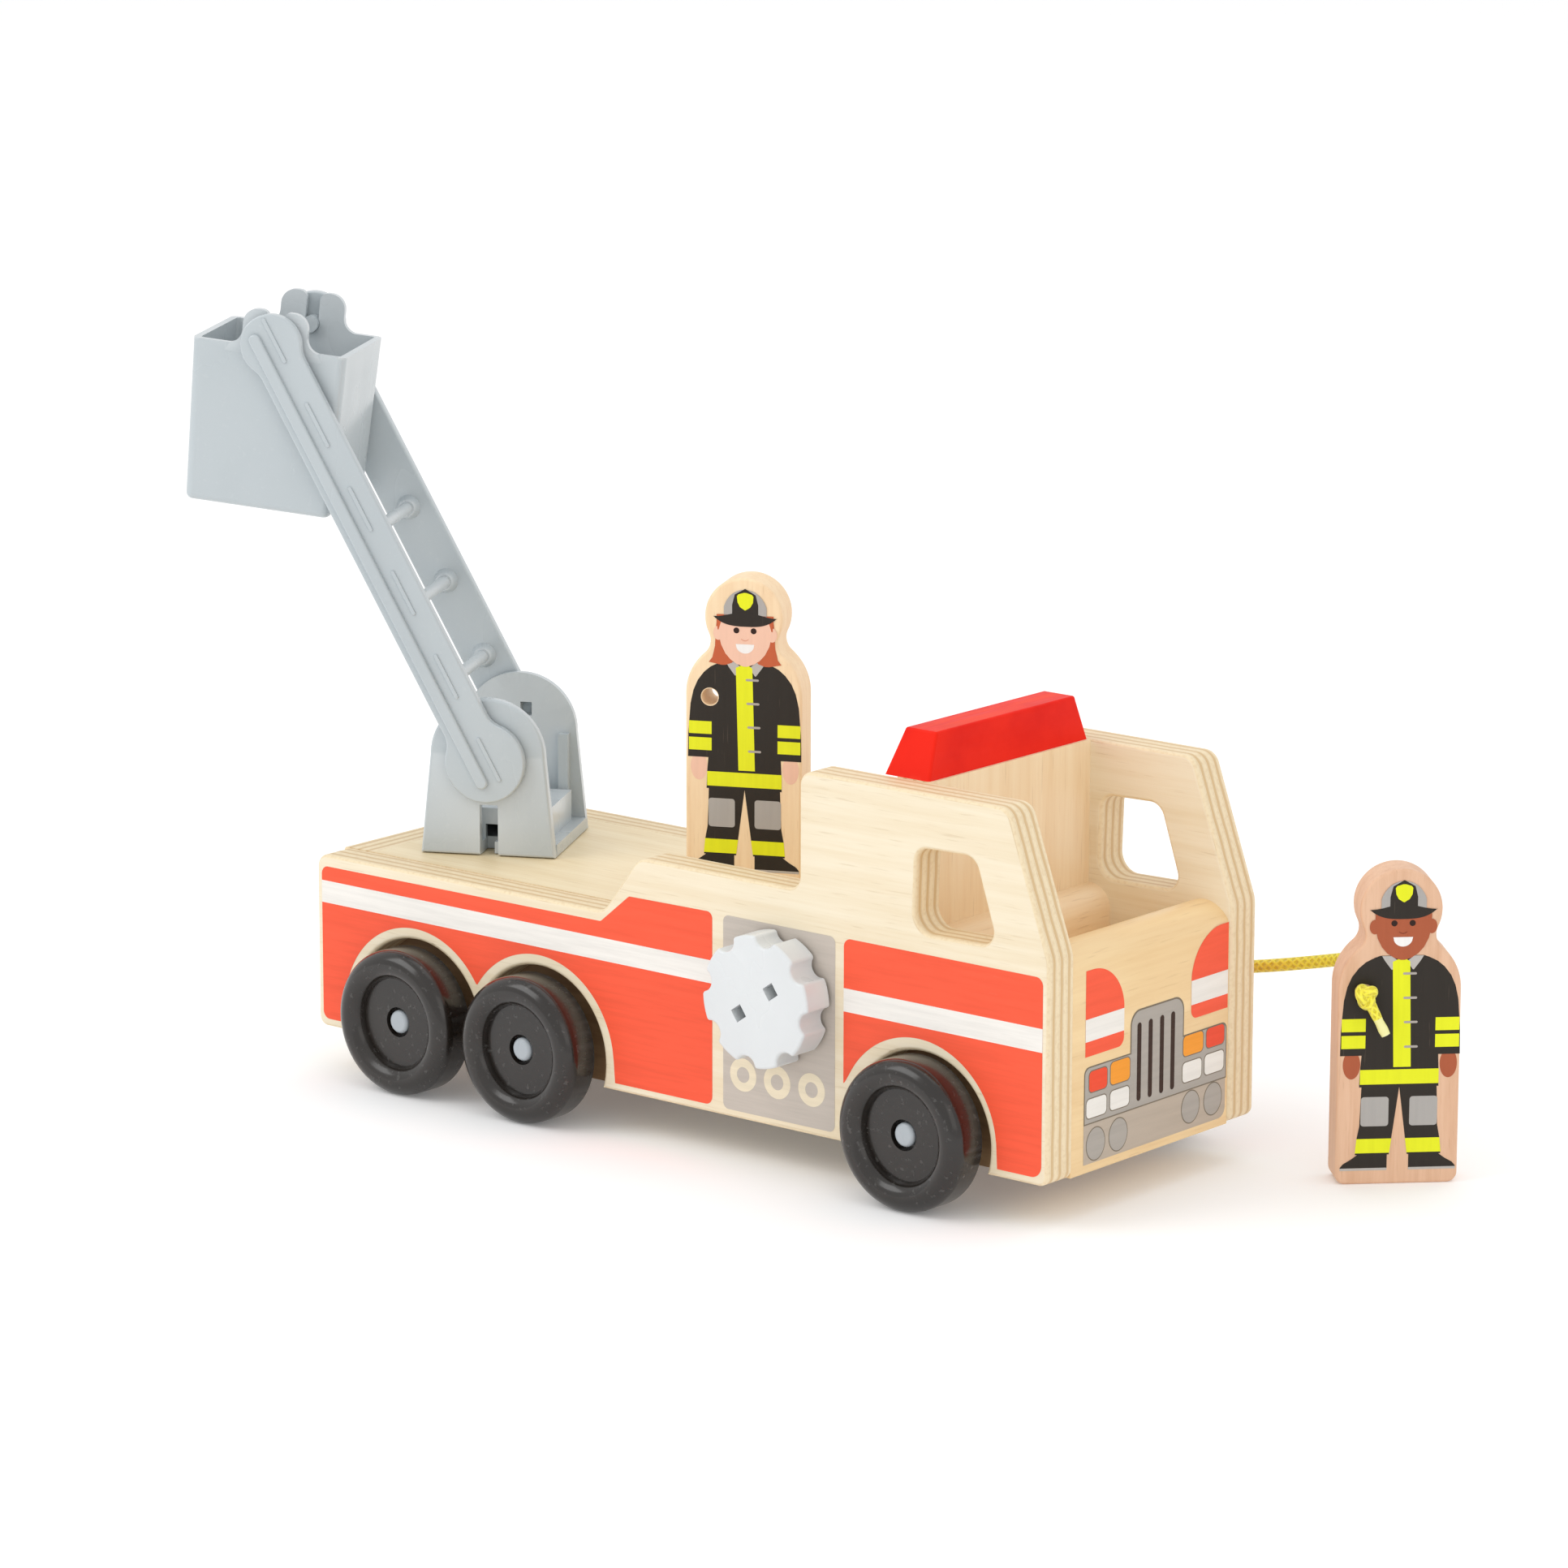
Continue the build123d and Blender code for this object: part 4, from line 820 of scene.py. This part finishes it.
line = bpy.data.curves.new("hose_line", "CURVE")
line.dimensions = "3D"
spline = line.splines.new("NURBS")
spline.points.add(len(HOSE_ROUTE) - 1)
spline.points.foreach_set("co", np.c_[truck_to_frame(HOSE_ROUTE), np.ones(len(HOSE_ROUTE))].ravel())
spline.order_u = 3
spline.use_endpoint_u = True
spline.resolution_u = 16
line.bevel_depth = HOSE_DIAMETER / 2
line.bevel_resolution = 6
line.use_fill_caps = True
line.materials.append(braid)
hose = bpy.data.objects.new("hose_free", line)
bpy.context.scene.collection.objects.link(hose)
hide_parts("hose")
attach(hose, "truck")

# ---- Studio ----
# A plain pale floor, soft lamps above, and a camera at standing height in front of the truck's right corner.

FLOOR_HALF = 6.0
floor_mesh = bpy.data.meshes.new("studio_floor")
floor_corners = [(-FLOOR_HALF, -FLOOR_HALF, 0), (FLOOR_HALF, -FLOOR_HALF, 0), (FLOOR_HALF, FLOOR_HALF, 0),
                 (-FLOOR_HALF, FLOOR_HALF, 0)]
floor_mesh.from_pydata(floor_corners, [], [(0, 1, 2, 3)])
floor = bpy.data.objects.new("studio_floor", floor_mesh)
floor_finish, tree, shader = new_finish("studio_paper", Roughness=0.9)
shader.inputs["Base Color"].default_value = (0.93, 0.93, 0.93, 1)
shader.inputs["Emission Color"].default_value = (1, 1, 1, 1)
shader.inputs["Emission Strength"].default_value = 0.12
floor_mesh.materials.append(floor_finish)
bpy.context.scene.collection.objects.link(floor)

world = bpy.data.worlds.new("studio_air")
world.use_nodes = True
world.node_tree.nodes["Background"].inputs["Color"].default_value = (1.0, 1.0, 1.0, 1)
world.node_tree.nodes["Background"].inputs["Strength"].default_value = 0.92
bpy.context.scene.world = world


def soft_lamp(name, place, aim, size, power, colour=(1, 1, 1)):
    """A square area lamp at a place, turned to face a point."""
    lamp_data = bpy.data.lights.new(name, "AREA")
    lamp_data.shape = "SQUARE"
    lamp_data.size = size
    lamp_data.energy = power
    lamp_data.color = colour
    lamp_object = bpy.data.objects.new(name, lamp_data)
    away = np.array(place, float) - np.array(aim, float)
    back = away / np.linalg.norm(away)
    right = np.cross([0, 0, 1.0], back)
    right /= np.linalg.norm(right)
    turn = np.eye(4)
    turn[:3, 0], turn[:3, 1], turn[:3, 2], turn[:3, 3] = right, np.cross(back, right), back, place
    lamp_object.matrix_world = Matrix(turn.tolist())
    bpy.context.scene.collection.objects.link(lamp_object)
    return lamp_object


soft_lamp("key_lamp", (-0.9, -1.3, 1.5), (0, 0, 0.08), 1.2, 10)
soft_lamp("fill_lamp", (1.8, -0.9, 0.9), (0, 0, 0.08), 1.2, 2.5, (1.0, 0.95, 0.88))
soft_lamp("top_lamp", (0.1, 0.5, 2.0), (0, 0, 0.0), 1.6, 4)

CAMERA_AZIMUTH = math.radians(39.523)
CAMERA_RISE = math.radians(12.799)
CAMERA_ROLL = math.radians(0.104)
CAMERA_TARGET = truck_to_frame([248.18, -129.08, 137.66])
CAMERA_DISTANCE = 1.7804
camera_data = bpy.data.cameras.new("studio_camera")
camera_data.sensor_width = 36.0
camera_data.lens = 153.47
camera_data.clip_end = 50.0
camera = bpy.data.objects.new("studio_camera", camera_data)
back = np.array([math.sin(CAMERA_AZIMUTH) * math.cos(CAMERA_RISE),
                 -math.cos(CAMERA_AZIMUTH) * math.cos(CAMERA_RISE), math.sin(CAMERA_RISE)])
level = np.array([math.cos(CAMERA_AZIMUTH), math.sin(CAMERA_AZIMUTH), 0.0])
upward = np.cross(back, level)
right = level * math.cos(CAMERA_ROLL) + upward * math.sin(CAMERA_ROLL)
turn = np.eye(4)
turn[:3, 0], turn[:3, 1], turn[:3, 2] = right, np.cross(back, right), back
turn[:3, 3] = CAMERA_TARGET + CAMERA_DISTANCE * back
camera.matrix_world = Matrix(turn.tolist())
bpy.context.scene.collection.objects.link(camera)
bpy.context.scene.camera = camera
bpy.context.scene.view_settings.view_transform = "Standard"
